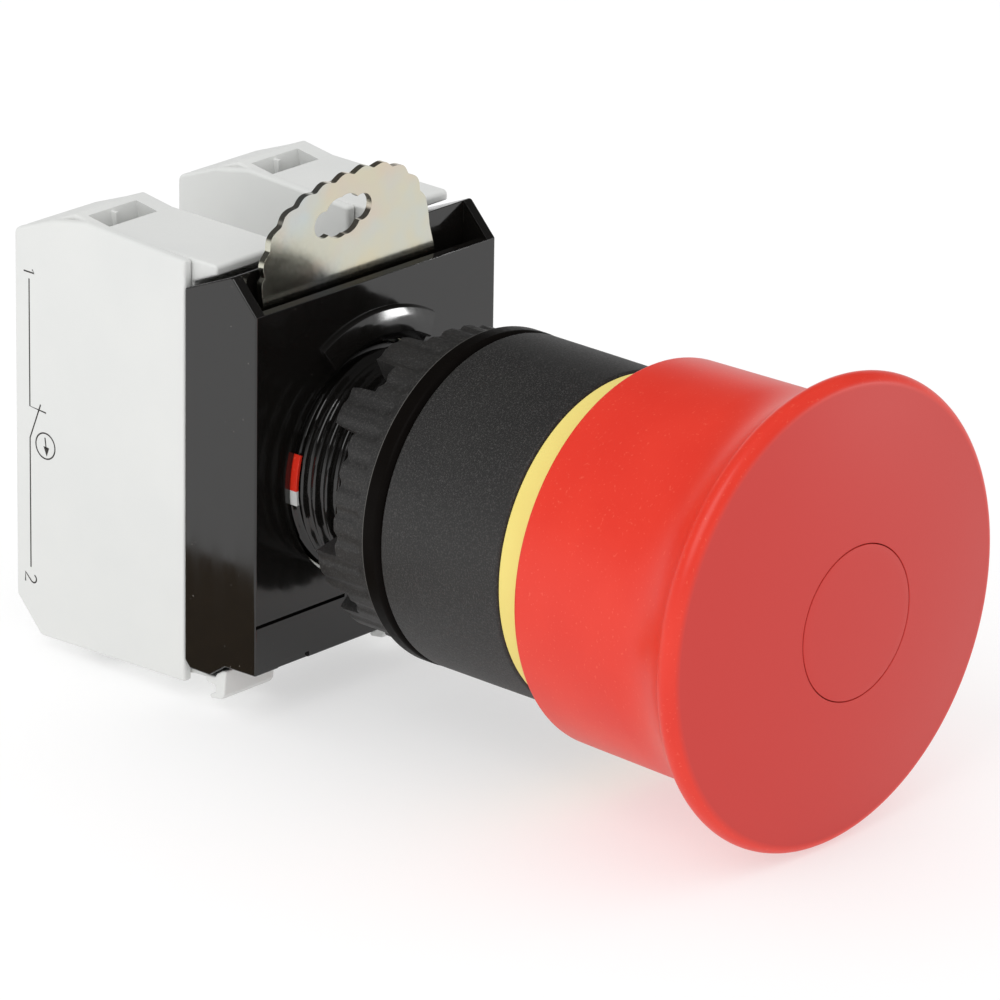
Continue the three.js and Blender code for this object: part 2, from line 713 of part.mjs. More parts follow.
// Hook under the base: a tongue from the pivot, then a wider toe that holds the base and has a foot to pull
// it by.
function releaseClip() {
  const pivot = arc(CLIP_PIVOT, 0.9, -90, 90, 6);
  const tongue = [...pivot, [20.2, -17.1], [17, -17.1], [17, -17.75], [20.2, -17.9]];
  const toe = [
    [18.2, -17.1],
    [17.1, -17.1],
    [16.9, -16.75],
    [16.3, -16.35],
    [15.8, -16.25],
    [16, -18.5],
    [16.3, -18.95],
    [17.6, -19.15],
    [17.8, -18.9],
    [17.1, -18.5],
    [17, -17.9],
    [18.2, -17.75],
  ];
  return alongX(tongue, [CLIP_TONGUE_X, CLIP_X[1]]).add(alongX(toe, CLIP_X));
}

for (const [side, x] of Object.entries(BLOCK_X)) {
  const block = new THREE.Group();
  block.position.x = x;
  assembly.add(block);
  const piece = (name, body, material) => add(`${side}_${name}`, body, material, block);
  piece("housing", housing(), greyPlastic);
  piece("side_cover", sideCover(), greyPlastic);
  piece("plunger", plunger(), whitePlastic);
  piece("contact_bridge", contactBridge(), brass);
  const springY = [BRIDGE_Y[1] + GAP, BLOCK_Y[1] - WALL - GAP];
  const returnSpring = spring({ radius: 1.5, wire: 0.25, turns: 5, y: springY, x: MID_X, steps: 8 });
  piece("return_spring", returnSpring, springSteel);
  piece("release_clip", releaseClip(), greyPlastic);
  for (const [end, sign] of [["top", 1], ["bottom", -1]]) {
    piece(`${end}_contact`, fixedContact(sign), brass);
    piece(`${end}_clamp`, clampPlate(sign), zincPlate);
    piece(`${end}_screw`, terminalScrew, zincPlate).position.set(MID_X, 0, sign * TERMINAL_Z);
  }
}

// ---------------------------------------------------------------- the part in its own frame

assembly.position.y = -PAD_Y;
const part = new THREE.Group();
part.add(assembly);

export default part;
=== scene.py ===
"""Looks of the emergency stop button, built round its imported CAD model.

Shapes are drawn in millimetres with y counted from the panel's front plane, where the gasket's rear lip lies,
and are moved into the frame when a piece is finished. The button's axis is the Y axis.
"""

import math

import bmesh
import bpy
from mathutils import Matrix, Vector

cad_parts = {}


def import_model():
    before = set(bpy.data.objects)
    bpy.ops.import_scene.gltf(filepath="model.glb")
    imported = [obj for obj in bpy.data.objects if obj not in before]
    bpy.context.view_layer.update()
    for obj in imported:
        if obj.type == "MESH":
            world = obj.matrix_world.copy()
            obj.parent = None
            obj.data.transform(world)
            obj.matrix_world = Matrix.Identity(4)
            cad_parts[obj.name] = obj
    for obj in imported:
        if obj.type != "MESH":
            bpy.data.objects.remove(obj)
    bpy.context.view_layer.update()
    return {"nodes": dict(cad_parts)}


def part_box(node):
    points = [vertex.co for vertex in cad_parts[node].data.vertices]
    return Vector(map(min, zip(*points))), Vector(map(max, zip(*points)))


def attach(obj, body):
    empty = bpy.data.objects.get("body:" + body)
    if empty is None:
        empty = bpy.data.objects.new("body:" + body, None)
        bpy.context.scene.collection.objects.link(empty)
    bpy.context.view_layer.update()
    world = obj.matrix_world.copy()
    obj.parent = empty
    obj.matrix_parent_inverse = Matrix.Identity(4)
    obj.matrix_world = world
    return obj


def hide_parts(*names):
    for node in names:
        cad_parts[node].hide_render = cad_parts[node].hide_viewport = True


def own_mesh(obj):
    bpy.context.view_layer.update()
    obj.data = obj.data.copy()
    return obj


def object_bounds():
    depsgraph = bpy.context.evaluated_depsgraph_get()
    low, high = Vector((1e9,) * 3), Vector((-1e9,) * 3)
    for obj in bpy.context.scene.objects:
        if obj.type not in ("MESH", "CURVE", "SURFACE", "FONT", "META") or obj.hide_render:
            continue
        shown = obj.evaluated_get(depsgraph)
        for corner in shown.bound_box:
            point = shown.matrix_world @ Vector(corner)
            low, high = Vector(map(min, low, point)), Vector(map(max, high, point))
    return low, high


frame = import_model()

MM = 0.001
PANEL_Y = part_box("panel_gasket")[1].y / MM
PLACE = Matrix.Scale(MM, 4) @ Matrix.Translation((0, PANEL_Y, 0))
scene = bpy.context.scene


def extent(node):
    """Lowest and highest corners of a CAD node, in millimetres, with y counted from the panel."""
    shift = Vector((0, PANEL_Y, 0))
    lo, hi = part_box(node)
    return lo / MM - shift, hi / MM - shift


# ---------------- outlines


def arc(centre, radius, start, end, steps):
    """Points of an arc about centre. Angles are in degrees."""
    angles = [math.radians(start + (end - start) * i / steps) for i in range(steps + 1)]
    return [(centre[0] + radius * math.cos(a), centre[1] + radius * math.sin(a)) for a in angles]


def rounded(points, radius=0.0, steps=4):
    """A closed outline with its corners turned into arcs. A third number in a point is its own radius."""
    out = []
    for i, point in enumerate(points):
        before, here, after = (Vector(points[k % len(points)][:2]) for k in (i - 1, i, i + 1))
        to_before, to_after = before - here, after - here
        wanted = point[2] if len(point) > 2 else radius
        half = to_before.angle(to_after) / 2
        if wanted <= 0 or half > math.radians(86):
            out.append(here)
            continue
        cut = min(wanted / math.tan(half), 0.48 * to_before.length, 0.48 * to_after.length)
        spoke = (to_before.normalized() + to_after.normalized()).normalized()
        centre = here + spoke * (cut / math.cos(half))
        first = here + to_before.normalized() * cut - centre
        last = here + to_after.normalized() * cut - centre
        turn = last.angle_signed(first)
        for k in range(steps + 1):
            out.append(centre + Matrix.Rotation(turn * k / steps, 2) @ first)
    return out


def inset(points, amount, radius):
    """An outline with its sides moved inwards by amount, and its rounded corners made tighter to match."""
    area = sum(a[0] * b[1] - b[0] * a[1] for a, b in zip(points, points[1:] + points[:1]))
    way = 1 if area > 0 else -1
    out = []
    for i, point in enumerate(points):
        before, here, after = (Vector(points[k % len(points)][:2]) for k in (i - 1, i, i + 1))
        along_a, along_b = (here - before).normalized(), (after - here).normalized()
        normal_a = way * Vector((-along_a.y, along_a.x))
        normal_b = way * Vector((-along_b.y, along_b.x))
        at = here + (normal_a + normal_b) * (amount / (1 + normal_a.dot(normal_b)))
        wanted = point[2] if len(point) > 2 else radius
        out.append((*at, max(wanted - amount, 0.02) if wanted > 0 else 0))
    return out


# ---------------- solids, as bmeshes


def skin(bm, rings, closed):
    """Faces between neighbouring rings of vertices. A closed skin also joins the last ring to the first."""
    for a, b in zip(rings, rings[1:] + (rings[:1] if closed else [])):
        for i in range(len(a)):
            k = (i + 1) % len(a)
            corners = list(dict.fromkeys((a[i], a[k], b[k], b[i])))
            if len(corners) > 2:
                bm.faces.new(corners)


def lathe(outline, segments=192, shape=None, span=(0, 360)):
    """A closed outline in (radius, y) turned about the Y axis. Angles go from +X towards +Z.
    shape(radius, y, degrees) can move each point. A span under 360 degrees is closed by two end faces."""
    bm = bmesh.new()
    whole = span[1] - span[0] >= 360
    rings = []
    for i in range(segments if whole else segments + 1):
        degrees = span[0] + (span[1] - span[0]) * i / segments
        angle = math.radians(degrees)
        ring = []
        for number, (r, y) in enumerate(outline):
            if r < 1e-6 and rings:
                ring.append(rings[0][number])
                continue
            at_r, at_y = shape(r, y, degrees) if shape else (r, y)
            ring.append(bm.verts.new((at_r * math.cos(angle), at_y, at_r * math.sin(angle))))
        rings.append(ring)
    skin(bm, rings, whole)
    if not whole:
        bm.faces.new(rings[0])
        bm.faces.new(rings[-1])
    return bm


def prism(outline, lo, hi, axis="x", corner=0.0, edge=0.0, steps=2):
    """An outline made solid between two planes, with its corners rounded to the radius corner, and its end
    edges to the radius edge. The outline is in (y, z) for a prism along x, and in (x, z) for one along y."""
    levels = [(edge, lo), (edge, hi)]
    if edge > 0:
        turn = [math.radians(90 * k / steps) for k in range(steps + 1)]
        bend = [(edge * (1 - math.sin(a)), edge * (1 - math.cos(a))) for a in turn]
        levels = [(i, lo + d) for i, d in bend] + [(i, hi - d) for i, d in reversed(bend)]
    bm = bmesh.new()
    rings = []
    for amount, level in levels:
        points = rounded(inset(outline, amount, corner))
        corners = [(level, u, v) if axis == "x" else (u, level, v) for u, v in points]
        rings.append([bm.verts.new(c) for c in corners])
    skin(bm, rings, False)
    bm.faces.new(rings[0])
    bm.faces.new(rings[-1])
    return bm


def block(x, y, z, edge=0.0):
    """A rectangular solid between pairs of planes."""
    return prism([(y[0], z[0]), (y[1], z[0]), (y[1], z[1]), (y[0], z[1])], x[0], x[1], edge=edge)


def rod(radius, x, z, y, segments=48):
    """A cylinder along Y."""
    return moved(lathe([(0, y[0]), (radius, y[0]), (radius, y[1]), (0, y[1])], segments), (x, 0, z))


def mirrored(side, low, high):
    """A range of heights on the top side (1) or the bottom side (-1)."""
    return tuple(sorted((side * low, side * high)))


def sweep(path, section, reference, closed=False):
    """A section carried along a path. Its first direction is square to the path and to reference."""
    bm = bmesh.new()
    rings = []
    for i, here in enumerate(path):
        before = path[i - 1] if i or closed else here
        after = path[(i + 1) % len(path)] if closed or i + 1 < len(path) else here
        along = (after - before).normalized()
        side = along.cross(reference).normalized()
        up = side.cross(along)
        rings.append([bm.verts.new(here + side * u + up * v) for u, v in section])
    skin(bm, rings, closed)
    if not closed:
        bm.faces.new(rings[0])
        bm.faces.new(rings[-1])
    return bm


def moved(bm, offset):
    bm.transform(Matrix.Translation(offset))
    return bm


def temporary(bm):
    """A bmesh as a linked object that a modifier can work on."""
    bmesh.ops.remove_doubles(bm, verts=bm.verts, dist=1e-5)
    bmesh.ops.recalc_face_normals(bm, faces=bm.faces)
    mesh = bpy.data.meshes.new("temporary")
    bm.to_mesh(mesh)
    bm.free()
    made = bpy.data.objects.new("temporary", mesh)
    scene.collection.objects.link(made)
    return made


def combined(body, other, operation="DIFFERENCE"):
    """body cut by other, or joined to it with operation UNION. Both bmeshes are used up."""
    objects = [temporary(body), temporary(other)]
    modifier = objects[0].modifiers.new("boolean", "BOOLEAN")
    modifier.operation = operation
    modifier.solver = "EXACT"
    modifier.object = objects[1]
    depsgraph = bpy.context.evaluated_depsgraph_get()
    evaluated = objects[0].evaluated_get(depsgraph)
    result = bmesh.new()
    result.from_mesh(evaluated.to_mesh())
    evaluated.to_mesh_clear()
    for used in objects:
        mesh = used.data
        bpy.data.objects.remove(used)
        bpy.data.meshes.remove(mesh)
    return result


def cut(body, *others):
    for other in others:
        body = combined(body, other)
    return body


def joined(body, *others):
    for other in others:
        body = combined(body, other, "UNION")
    return body


def merged(*parts):
    """Several separate shells in one bmesh."""
    whole = bmesh.new()
    for bm in parts:
        mesh = bpy.data.meshes.new("part")
        bm.to_mesh(mesh)
        bm.free()
        whole.from_mesh(mesh)
        bpy.data.meshes.remove(mesh)
    return whole


# ---------------- materials


class Shader:
    """A material's node tree around one Principled shader, with positions in the piece's own frame."""

    def __init__(self, name, **values):
        self.material = bpy.data.materials.new(name)
        self.material.use_nodes = True
        self.tree = self.material.node_tree
        self.bsdf = self.tree.nodes["Principled BSDF"]
        self.where = self.node("TexCoord").outputs["Object"]
        for key, value in values.items():
            self.set(key.replace("_", " ").title().replace("Ior", "IOR"), value)

    def node(self, kind, inputs=None, **settings):
        made = self.tree.nodes.new("ShaderNode" + kind)
        for key, value in settings.items():
            setattr(made, key, value)
        for key, value in (inputs or {}).items():
            self.plug(made.inputs[key], value)
        return made

    def plug(self, socket, value):
        if isinstance(value, bpy.types.NodeSocket):
            self.tree.links.new(value, socket)
        elif hasattr(socket.default_value, "__len__") and len(value) == 3 and len(socket.default_value) == 4:
            socket.default_value = (*value, 1)
        else:
            socket.default_value = value

    def set(self, name, value):
        self.plug(self.bsdf.inputs[name], value)

    def noise(self, size_mm, detail=2.0, roughness=0.5, stretch=(1, 1, 1)):
        """Noise from 0 to 1 with features of about size_mm."""
        scaled = self.node("Mapping", {"Vector": self.where, "Scale": stretch}).outputs[0]
        inputs = {"Vector": scaled, "Scale": 1 / (size_mm * MM), "Detail": detail, "Roughness": roughness}
        return self.node("TexNoise", inputs).outputs["Fac"]

    def remap(self, value, low, high, to_low=0.0, to_high=1.0):
        inputs = {"Value": value, "From Min": low, "From Max": high, "To Min": to_low, "To Max": to_high}
        return self.node("MapRange", inputs).outputs[0]

    def mix(self, factor, a, b):
        made = self.node("Mix", data_type="RGBA")
        self.plug(made.inputs[0], factor)
        self.plug(made.inputs[6], a)
        self.plug(made.inputs[7], b)
        return made.outputs[2]

    def bump(self, height, depth_mm, strength=1.0, base=None):
        inputs = {"Height": height, "Distance": depth_mm * MM, "Strength": strength}
        if base:
            inputs["Normal"] = base
        normal = self.node("Bump", inputs).outputs[0]
        self.set("Normal", normal)
        return normal


def red_plastic():
    """Red moulding: fine spark grain, and a front face hazed by handling, whose colour is also darkened as
    painted shade for the less lit face.
    """
    lo, hi = extent("mushroom_cap")
    shader = Shader("red_plastic", specular_ior_level=0.5)
    height = shader.node("SeparateXYZ", {"Vector": shader.where}).outputs["Y"]
    on_face = shader.remap(height, (lo.y + PANEL_Y + 2.9) * MM, (lo.y + PANEL_Y + 2.5) * MM)
    across = shader.node("VectorMath", {0: shader.where, 1: (1, 0, 1)}, operation="MULTIPLY").outputs[0]
    radius = shader.node("VectorMath", {0: across}, operation="LENGTH").outputs["Value"]
    inside_rim = shader.remap(radius, (hi.x - 0.5) * MM, (hi.x - 1) * MM)
    haze_and_painted_shade = shader.node("Math", {0: on_face, 1: inside_rim}, operation="MULTIPLY").outputs[0]
    cloud = shader.noise(7, 3)
    speck = shader.remap(shader.noise(0.28, 1), 0.66, 0.76)
    body = shader.mix(shader.remap(cloud, 0.3, 0.7), (0.76, 0.027, 0.010), (0.80, 0.035, 0.014))
    body = shader.mix(shader.remap(speck, 0, 1, 0, 0.3), body, (0.92, 0.17, 0.10))
    # The front face gets a duller red for its haze, also made darker as painted shade where the face gets
    # less light.
    shader.set("Base Color", shader.mix(haze_and_painted_shade, body, (0.60, 0.032, 0.024)))
    shader.set("Roughness", shader.remap(haze_and_painted_shade, 0, 1, 0.33, 0.46))
    shader.bump(shader.noise(0.22, 2), 0.012, 0.5)
    return shader.material


def yellow_plastic():
    shader = Shader("yellow_plastic", specular_ior_level=0.4)
    shader.set("Base Color", shader.mix(shader.noise(3, 2), (0.84, 0.70, 0.19), (0.88, 0.75, 0.22)))
    shader.set("Roughness", shader.remap(shader.noise(0.5, 2), 0.3, 0.7, 0.38, 0.48))
    shader.bump(shader.noise(0.3, 2), 0.005, 0.4)
    return shader.material


def textured_black():
    """Glass filled moulding with a spark-eroded skin: fine grain, and pale fibres near the surface."""
    shader = Shader("textured_black", specular_ior_level=0.5)
    grain = shader.noise(0.2, 3, 0.65)
    fibres = shader.remap(shader.noise(0.13, 2), 0.5, 0.72)
    tone = shader.mix(shader.noise(5, 2), (0.017, 0.0165, 0.0165), (0.023, 0.022, 0.021))
    shader.set("Base Color", shader.mix(shader.remap(fibres, 0, 1, 0, 0.35), tone, (0.13, 0.125, 0.12)))
    shader.set("Roughness", shader.remap(grain, 0.3, 0.7, 0.46, 0.6))
    shader.bump(grain, 0.03, 0.55)
    return shader.material


def gloss_black():
    """Black moulding from a polished tool, with hairline rubs and a little dust."""
    shader = Shader("gloss_black", specular_ior_level=0.8)
    rubs = shader.noise(1.5, 4, 0.6, (1, 1, 0.12))
    dust = shader.remap(shader.noise(0.35, 1), 0.79, 0.84)
    shader.set("Base Color", shader.mix(dust, (0.006, 0.0055, 0.005), (0.2, 0.19, 0.17)))
    shader.set("Roughness", shader.remap(rubs, 0.35, 0.75, 0.07, 0.16))
    shader.bump(shader.noise(6, 2), 0.02, 0.25)
    return shader.material


def rubber():
    """Satin black rubber, with a painted highlight: paler colour on the gasket's edge that faces the panel.
    """
    shader = Shader("rubber", specular_ior_level=0.03)
    height = shader.node("SeparateXYZ", {"Vector": shader.where}).outputs["Y"]
    edge_y = extent("panel_gasket")[1].y + PANEL_Y
    # Painted highlight: the rear edge is coloured pale grey to stand in for its bright edge highlight.
    painted_edge_highlight = shader.remap(height, (edge_y - 0.2) * MM, (edge_y - 0.1) * MM, 0, 0.8)
    tone = shader.mix(shader.noise(2, 3), (0.0035, 0.0027, 0.0022), (0.0055, 0.0045, 0.004))
    shader.set("Base Color", shader.mix(painted_edge_highlight, tone, (0.17, 0.165, 0.155)))
    shader.set("Roughness", shader.remap(shader.noise(0.4, 3), 0.3, 0.7, 0.3, 0.42))
    shader.bump(shader.noise(0.35, 2), 0.008, 0.4)
    return shader.material


def grey_plastic():
    """Light grey moulding with a fine matt skin and the faint clouding of a real moulding."""
    shader = Shader("grey_plastic", specular_ior_level=0.45)
    cloud = shader.remap(shader.noise(9, 3), 0.3, 0.7)
    shader.set("Base Color", shader.mix(cloud, (0.725, 0.735, 0.722), (0.755, 0.762, 0.745)))
    shader.set("Roughness", shader.remap(shader.noise(0.5, 3), 0.3, 0.7, 0.38, 0.5))
    shader.bump(shader.noise(0.18, 2), 0.006, 0.4)
    return shader.material


def white_plastic():
    shader = Shader("white_plastic", specular_ior_level=0.5)
    shader.set("Base Color", shader.mix(shader.noise(4, 2), (0.83, 0.83, 0.79), (0.87, 0.87, 0.84)))
    shader.set("Roughness", shader.remap(shader.noise(0.5, 3), 0.3, 0.7, 0.28, 0.4))
    shader.bump(shader.noise(0.25, 2), 0.005, 0.4)
    return shader.material


def zinc_steel():
    """Zinc plated sheet: pale champagne with drifts of blue and pink, and fine handling marks."""
    shader = Shader("zinc_steel", metallic=1.0)
    tint = shader.mix(shader.remap(shader.noise(6, 2), 0.38, 0.62), (0.77, 0.71, 0.53), (0.71, 0.70, 0.59))
    tint = shader.mix(shader.remap(shader.noise(4.3, 3), 0.5, 0.7, 0, 0.55), tint, (0.78, 0.64, 0.54))
    tint = shader.mix(shader.remap(shader.noise(8.1, 3), 0.52, 0.7, 0, 0.7), tint, (0.62, 0.72, 0.76))
    shader.set("Base Color", tint)
    marks = shader.noise(0.35, 4, 0.55)
    shader.set("Roughness", shader.remap(marks, 0.3, 0.75, 0.13, 0.19))
    ripple = shader.bump(shader.noise(3.5, 2), 0.03, 0.4)
    shader.bump(marks, 0.0015, 0.4, ripple)
    return shader.material


def brass():
    shader = Shader("brass", metallic=1.0)
    shader.set("Base Color", shader.mix(shader.noise(2, 3), (0.72, 0.50, 0.22), (0.62, 0.42, 0.20)))
    grain = shader.noise(0.3, 4, 0.6, (1, 1, 0.1))
    shader.set("Roughness", shader.remap(grain, 0.3, 0.7, 0.2, 0.38))
    shader.bump(grain, 0.004, 0.5)
    return shader.material


def spring_steel():
    shader = Shader("spring_steel", metallic=1.0)
    shader.set("Base Color", shader.mix(shader.noise(1, 3), (0.56, 0.57, 0.59), (0.48, 0.49, 0.51)))
    shader.set("Roughness", shader.remap(shader.noise(0.2, 4), 0.3, 0.7, 0.2, 0.4))
    shader.bump(shader.noise(0.12, 3), 0.003, 0.5)
    return shader.material


def ink():
    """Printing on the contact blocks' covers, a little worn."""
    shader = Shader("ink", roughness=0.6)
    worn = shader.remap(shader.noise(0.3, 3), 0.62, 0.8, 0, 0.5)
    shader.set("Base Color", shader.mix(worn, (0.035, 0.032, 0.03), (0.4, 0.4, 0.39)))
    return shader.material


def pale_paint():
    """The light spot at the foot of the index flag."""
    shader = Shader("pale_paint", roughness=0.5)
    shader.set("Base Color", shader.mix(shader.noise(0.5, 3), (0.62, 0.63, 0.62), (0.75, 0.75, 0.73)))
    return shader.material


PLASTICS = (red_plastic, yellow_plastic, textured_black, gloss_black, rubber, grey_plastic, white_plastic)
METALS = (zinc_steel, brass, spring_steel)
FINISHES = {make.__name__: make() for make in PLASTICS + METALS}
INK = ink()
PALE_PAINT = pale_paint()


# ---------------- finished pieces


SHARP_DEG = 38  # edges that turn more than this stay sharp
BEVEL_DEG = 32  # and the ones that turn more than this are finely rounded


def smooth(obj, bevel_mm=0.0):
    """Smooth shading with crisp sharp edges, after an optional fine rounding of the edges."""
    if bevel_mm:
        rounding = obj.modifiers.new("edge rounding", "BEVEL")
        rounding.width = bevel_mm * MM
        rounding.segments = 2
        rounding.limit_method = "ANGLE"
        rounding.angle_limit = math.radians(BEVEL_DEG)
        rounding.use_clamp_overlap = True
        rounding.miter_outer = "MITER_ARC"
    shading = obj.modifiers.new("flat faces stay flat", "WEIGHTED_NORMAL")
    shading.keep_sharp = True


def piece(name, bm, body, slot, stands_for=(), bevel_mm=0.0):
    """A finished piece of the object: placed in the frame, given its finish, and riding on a CAD body."""
    bmesh.ops.remove_doubles(bm, verts=bm.verts, dist=1e-5)
    bm.transform(PLACE)
    bmesh.ops.recalc_face_normals(bm, faces=bm.faces)
    mesh = bpy.data.meshes.new(name)
    bm.to_mesh(mesh)
    bm.free()
    mesh.polygons.foreach_set("use_smooth", [True] * len(mesh.polygons))
    mesh.set_sharp_from_angle(angle=math.radians(SHARP_DEG))
    mesh.materials.append(FINISHES[slot])
    made = bpy.data.objects.new(name, mesh)
    scene.collection.objects.link(made)
    smooth(made, bevel_mm)
    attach(made, body)
    if stands_for:
        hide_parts(*stands_for)
    return made


def keep_cad(node, slot, bevel_mm=0.1):
    """A CAD node that stays as it is, with its finish and finely rounded edges."""
    kept = frame["nodes"][node]
    kept.data.materials.clear()
    kept.data.materials.append(FINISHES[slot])
    smooth(kept, bevel_mm)


# ---------------- mushroom head

cap_lo, cap_hi = extent("mushroom_cap")
CAP_R = cap_hi.x
CAP_REAR_Y = cap_hi.y
RIM_ROUND = 1.1
RIM_CREASE_DEG = 46  # how far the rim's arc goes to the rear, where the flare meets it
RIM_FACE_DEG = 84  # and to the front
CAP_RIM_Y = CAP_REAR_Y - 19  # where the cap is widest
CAP_FRONT_Y = CAP_REAR_Y - 22.4
SKIRT_R = CAP_R - 3.55
SKIRT_BORE_R = 15
FLARE_Y = CAP_REAR_Y - 10.4
HUB_R = 6.5
HUB_REAR_Y = CAP_FRONT_Y + 13.5
STEM_R = 4
PLUG_R = 6.6
PLUG_FLOOR_Y = CAP_FRONT_Y + 2.6
SCREW_SEAT_Y = CAP_FRONT_Y + 4.6
HUB_FLOOR_Y = CAP_FRONT_Y + 7
HUB_FRONT_Y = CAP_FRONT_Y + 5.4
SCREW_HEAD_R = 3.9
SCREW_HOLE_R = 2.1
SKIRT_TAPER = 0.2  # how much wider the skirt is where the flare begins
PLUG_LIP = 0.07  # the rounding on both sides of the joint line
PLUG_GAP = 0.07


def crown_y(radius):
    """Position along the axis of the cap's domed front."""
    rim_edge = CAP_R - RIM_ROUND
    rise = CAP_RIM_Y - RIM_ROUND - CAP_FRONT_Y
    dome = (rim_edge**2 + rise**2) / (2 * rise)
    return CAP_FRONT_Y + dome - math.sqrt(dome**2 - radius**2)


def flare(t):
    """The skirt's swing outwards to the rim, with t from 0 to 1."""
    crease = math.radians(RIM_CREASE_DEG)
    end_r = CAP_R - RIM_ROUND * (1 - math.cos(crease))
    end_y = CAP_RIM_Y + RIM_ROUND * math.sin(crease)
    start_r = SKIRT_R + SKIRT_TAPER
    return (start_r + (end_r - start_r) * t**2.7, FLARE_Y + (end_y - FLARE_Y) * t)


def mushroom_cap():
    """Skirt, flare, rim and domed front, with the plug's recess, the screw's hole and the hub inside."""
    lip = PLUG_LIP
    dome = [PLUG_R + lip + (CAP_R - RIM_ROUND - 0.4 - PLUG_R) * (1 - k / 16) ** 0.9 for k in range(1, 17)]
    outline = [(SKIRT_BORE_R, CAP_REAR_Y)]
    outline += arc((SKIRT_R - 0.3, CAP_REAR_Y - 0.3), 0.3, 90, 0, 4)
    length = FLARE_Y - CAP_REAR_Y
    outline += [(SKIRT_R + SKIRT_TAPER * k / 6, CAP_REAR_Y + length * k / 6) for k in range(1, 6)]
    outline += [flare(k / 28) for k in range(28)]
    outline += arc((CAP_R - RIM_ROUND, CAP_RIM_Y), RIM_ROUND, RIM_CREASE_DEG, -RIM_FACE_DEG, 16)
    outline += [(r, crown_y(r)) for r in dome]
    outline += arc((PLUG_R + lip, crown_y(PLUG_R) + lip), lip, -90, -180, 3)
    outline += [
        (PLUG_R, PLUG_FLOOR_Y),
        (SCREW_HEAD_R, PLUG_FLOOR_Y),
        (SCREW_HEAD_R, SCREW_SEAT_Y),
        (SCREW_HOLE_R, SCREW_SEAT_Y),
        (SCREW_HOLE_R, HUB_FLOOR_Y),
        (STEM_R + 0.05, HUB_FLOOR_Y),
        (STEM_R + 0.05, HUB_REAR_Y),
        (HUB_R, HUB_REAR_Y),
        (HUB_R, HUB_FRONT_Y),
        (HUB_R + 0.5, HUB_FRONT_Y - 0.3),
        (SKIRT_BORE_R - 1.2, CAP_FRONT_Y + 5.7),
        (SKIRT_BORE_R, CAP_FRONT_Y + 6.9),
    ]
    return lathe(outline, 256)


def centre_cap():
    """The plug in the middle of the mushroom. Its face carries on the dome."""
    radius = PLUG_R - PLUG_GAP
    lip = PLUG_LIP
    outline = [(0, PLUG_FLOOR_Y - 0.05), (radius, PLUG_FLOOR_Y - 0.05)]
    outline += arc((radius - lip, crown_y(radius) + lip), lip, 0, -90, 3)
    outline += [(radius * (1 - k / 8), crown_y(radius * (1 - k / 8))) for k in range(1, 9)]
    return lathe(outline, 128)


piece("mushroom_moulding", mushroom_cap(), "button", "red_plastic", ["mushroom_cap"])
piece("centre_plug", centre_cap(), "button", "red_plastic", ["centre_cap"])

# ---------------- bezel, yellow ring and gasket

bezel_lo, bezel_hi = extent("bezel")
gasket_lo, gasket_hi = extent("panel_gasket")
BEZEL_R = bezel_hi.x
BEZEL_FRONT_Y = bezel_lo.y
BEZEL_REAR_Y = bezel_hi.y
BEZEL_BORE_R = 12.9
BEZEL_FLOOR_T = 1.4
RING_BORE_R = 10.5
RING_WALL = 1.3
GASKET_LIP = 0.3
RETAINER_R = 8.5
COLLAR_R = 11


def bezel():
    """A sleeve with a floor at its front, where the seal's retainer sits."""
    floor_y = BEZEL_FRONT_Y + BEZEL_FLOOR_T
    outline = [
        (RETAINER_R + 0.05, BEZEL_FRONT_Y),
        (BEZEL_R - 0.02, BEZEL_FRONT_Y, 0.35),
        (BEZEL_R, (BEZEL_FRONT_Y + BEZEL_REAR_Y) / 2, 0),
        (BEZEL_R, BEZEL_REAR_Y, 0.3),
        (BEZEL_BORE_R, BEZEL_REAR_Y),
        (BEZEL_BORE_R, floor_y, 0.3),
        (RETAINER_R + 0.05, floor_y),
    ]
    return lathe(rounded(outline, 0.1), 256)


def yellow_ring():
    lo, hi = extent("yellow_ring")
    outline = [
        (RING_BORE_R, hi.y),
        (hi.x, hi.y),
        (hi.x, lo.y, 0.25),
        (hi.x - RING_WALL, lo.y, 0.25),
        (hi.x - RING_WALL, hi.y - 1.2, 0.3),
        (RING_BORE_R, hi.y - 1.2),
    ]
    return lathe(rounded(outline, 0.08), 192)


def panel_gasket():
    """A ring with a lip at its rear, and a keyway for the barrel's key."""
    outer = gasket_hi.x
    outline = [
        (COLLAR_R + 0.1, gasket_lo.y),
        (outer - 0.6, gasket_lo.y, 0.2),
        (outer, gasket_lo.y + 0.5, 0.5),
        (outer, gasket_hi.y, 0.18),
        (outer - 0.7, gasket_hi.y, 0.15),
        (outer - 0.75, gasket_hi.y - GASKET_LIP),
        (COLLAR_R + 0.1, gasket_hi.y - GASKET_LIP),
    ]
    keyway_y = (gasket_lo.y - 0.2, gasket_hi.y + 0.2)
    keyway = block((-1.7, 1.7), keyway_y, (COLLAR_R - 0.5, COLLAR_R + 1.1))
    return cut(lathe(rounded(outline, 0.1), 192), keyway)


piece("bezel_sleeve", bezel(), "base", "textured_black", ["bezel"])
piece("signal_ring", yellow_ring(), "base", "yellow_plastic", ["yellow_ring"])
piece("gasket_ring", panel_gasket(), "base", "rubber", ["panel_gasket"])

# ---------------- barrel and ring nut

THREAD_R = 10
THREAD_PITCH = 1.4
THREAD_DEPTH = 0.62
THREAD_Y = (0.3, 12.6)
barrel_lo, barrel_hi = extent("barrel")
FLANGE_R = 12.8
BARREL_BORE_R = 7.5
THROAT_R = 5.4
THROAT_Y = (-7.9, -5.5)
SLEEVE_R = 9.5
LOCK_GROOVE_R = 9
LOCK_GROOVE_Y = 13.3
LUG_T = 0.7  # the lugs behind the locking plate
LUG_HALF_DEG = 7.5
PLATE_TILT = 6.7  # how far the plate and its lugs are turned in the photo's pose


def smoothstep(value, low, high):
    t = max(0.0, min(1.0, (value - low) / (high - low)))
    return t * t * (3 - 2 * t)


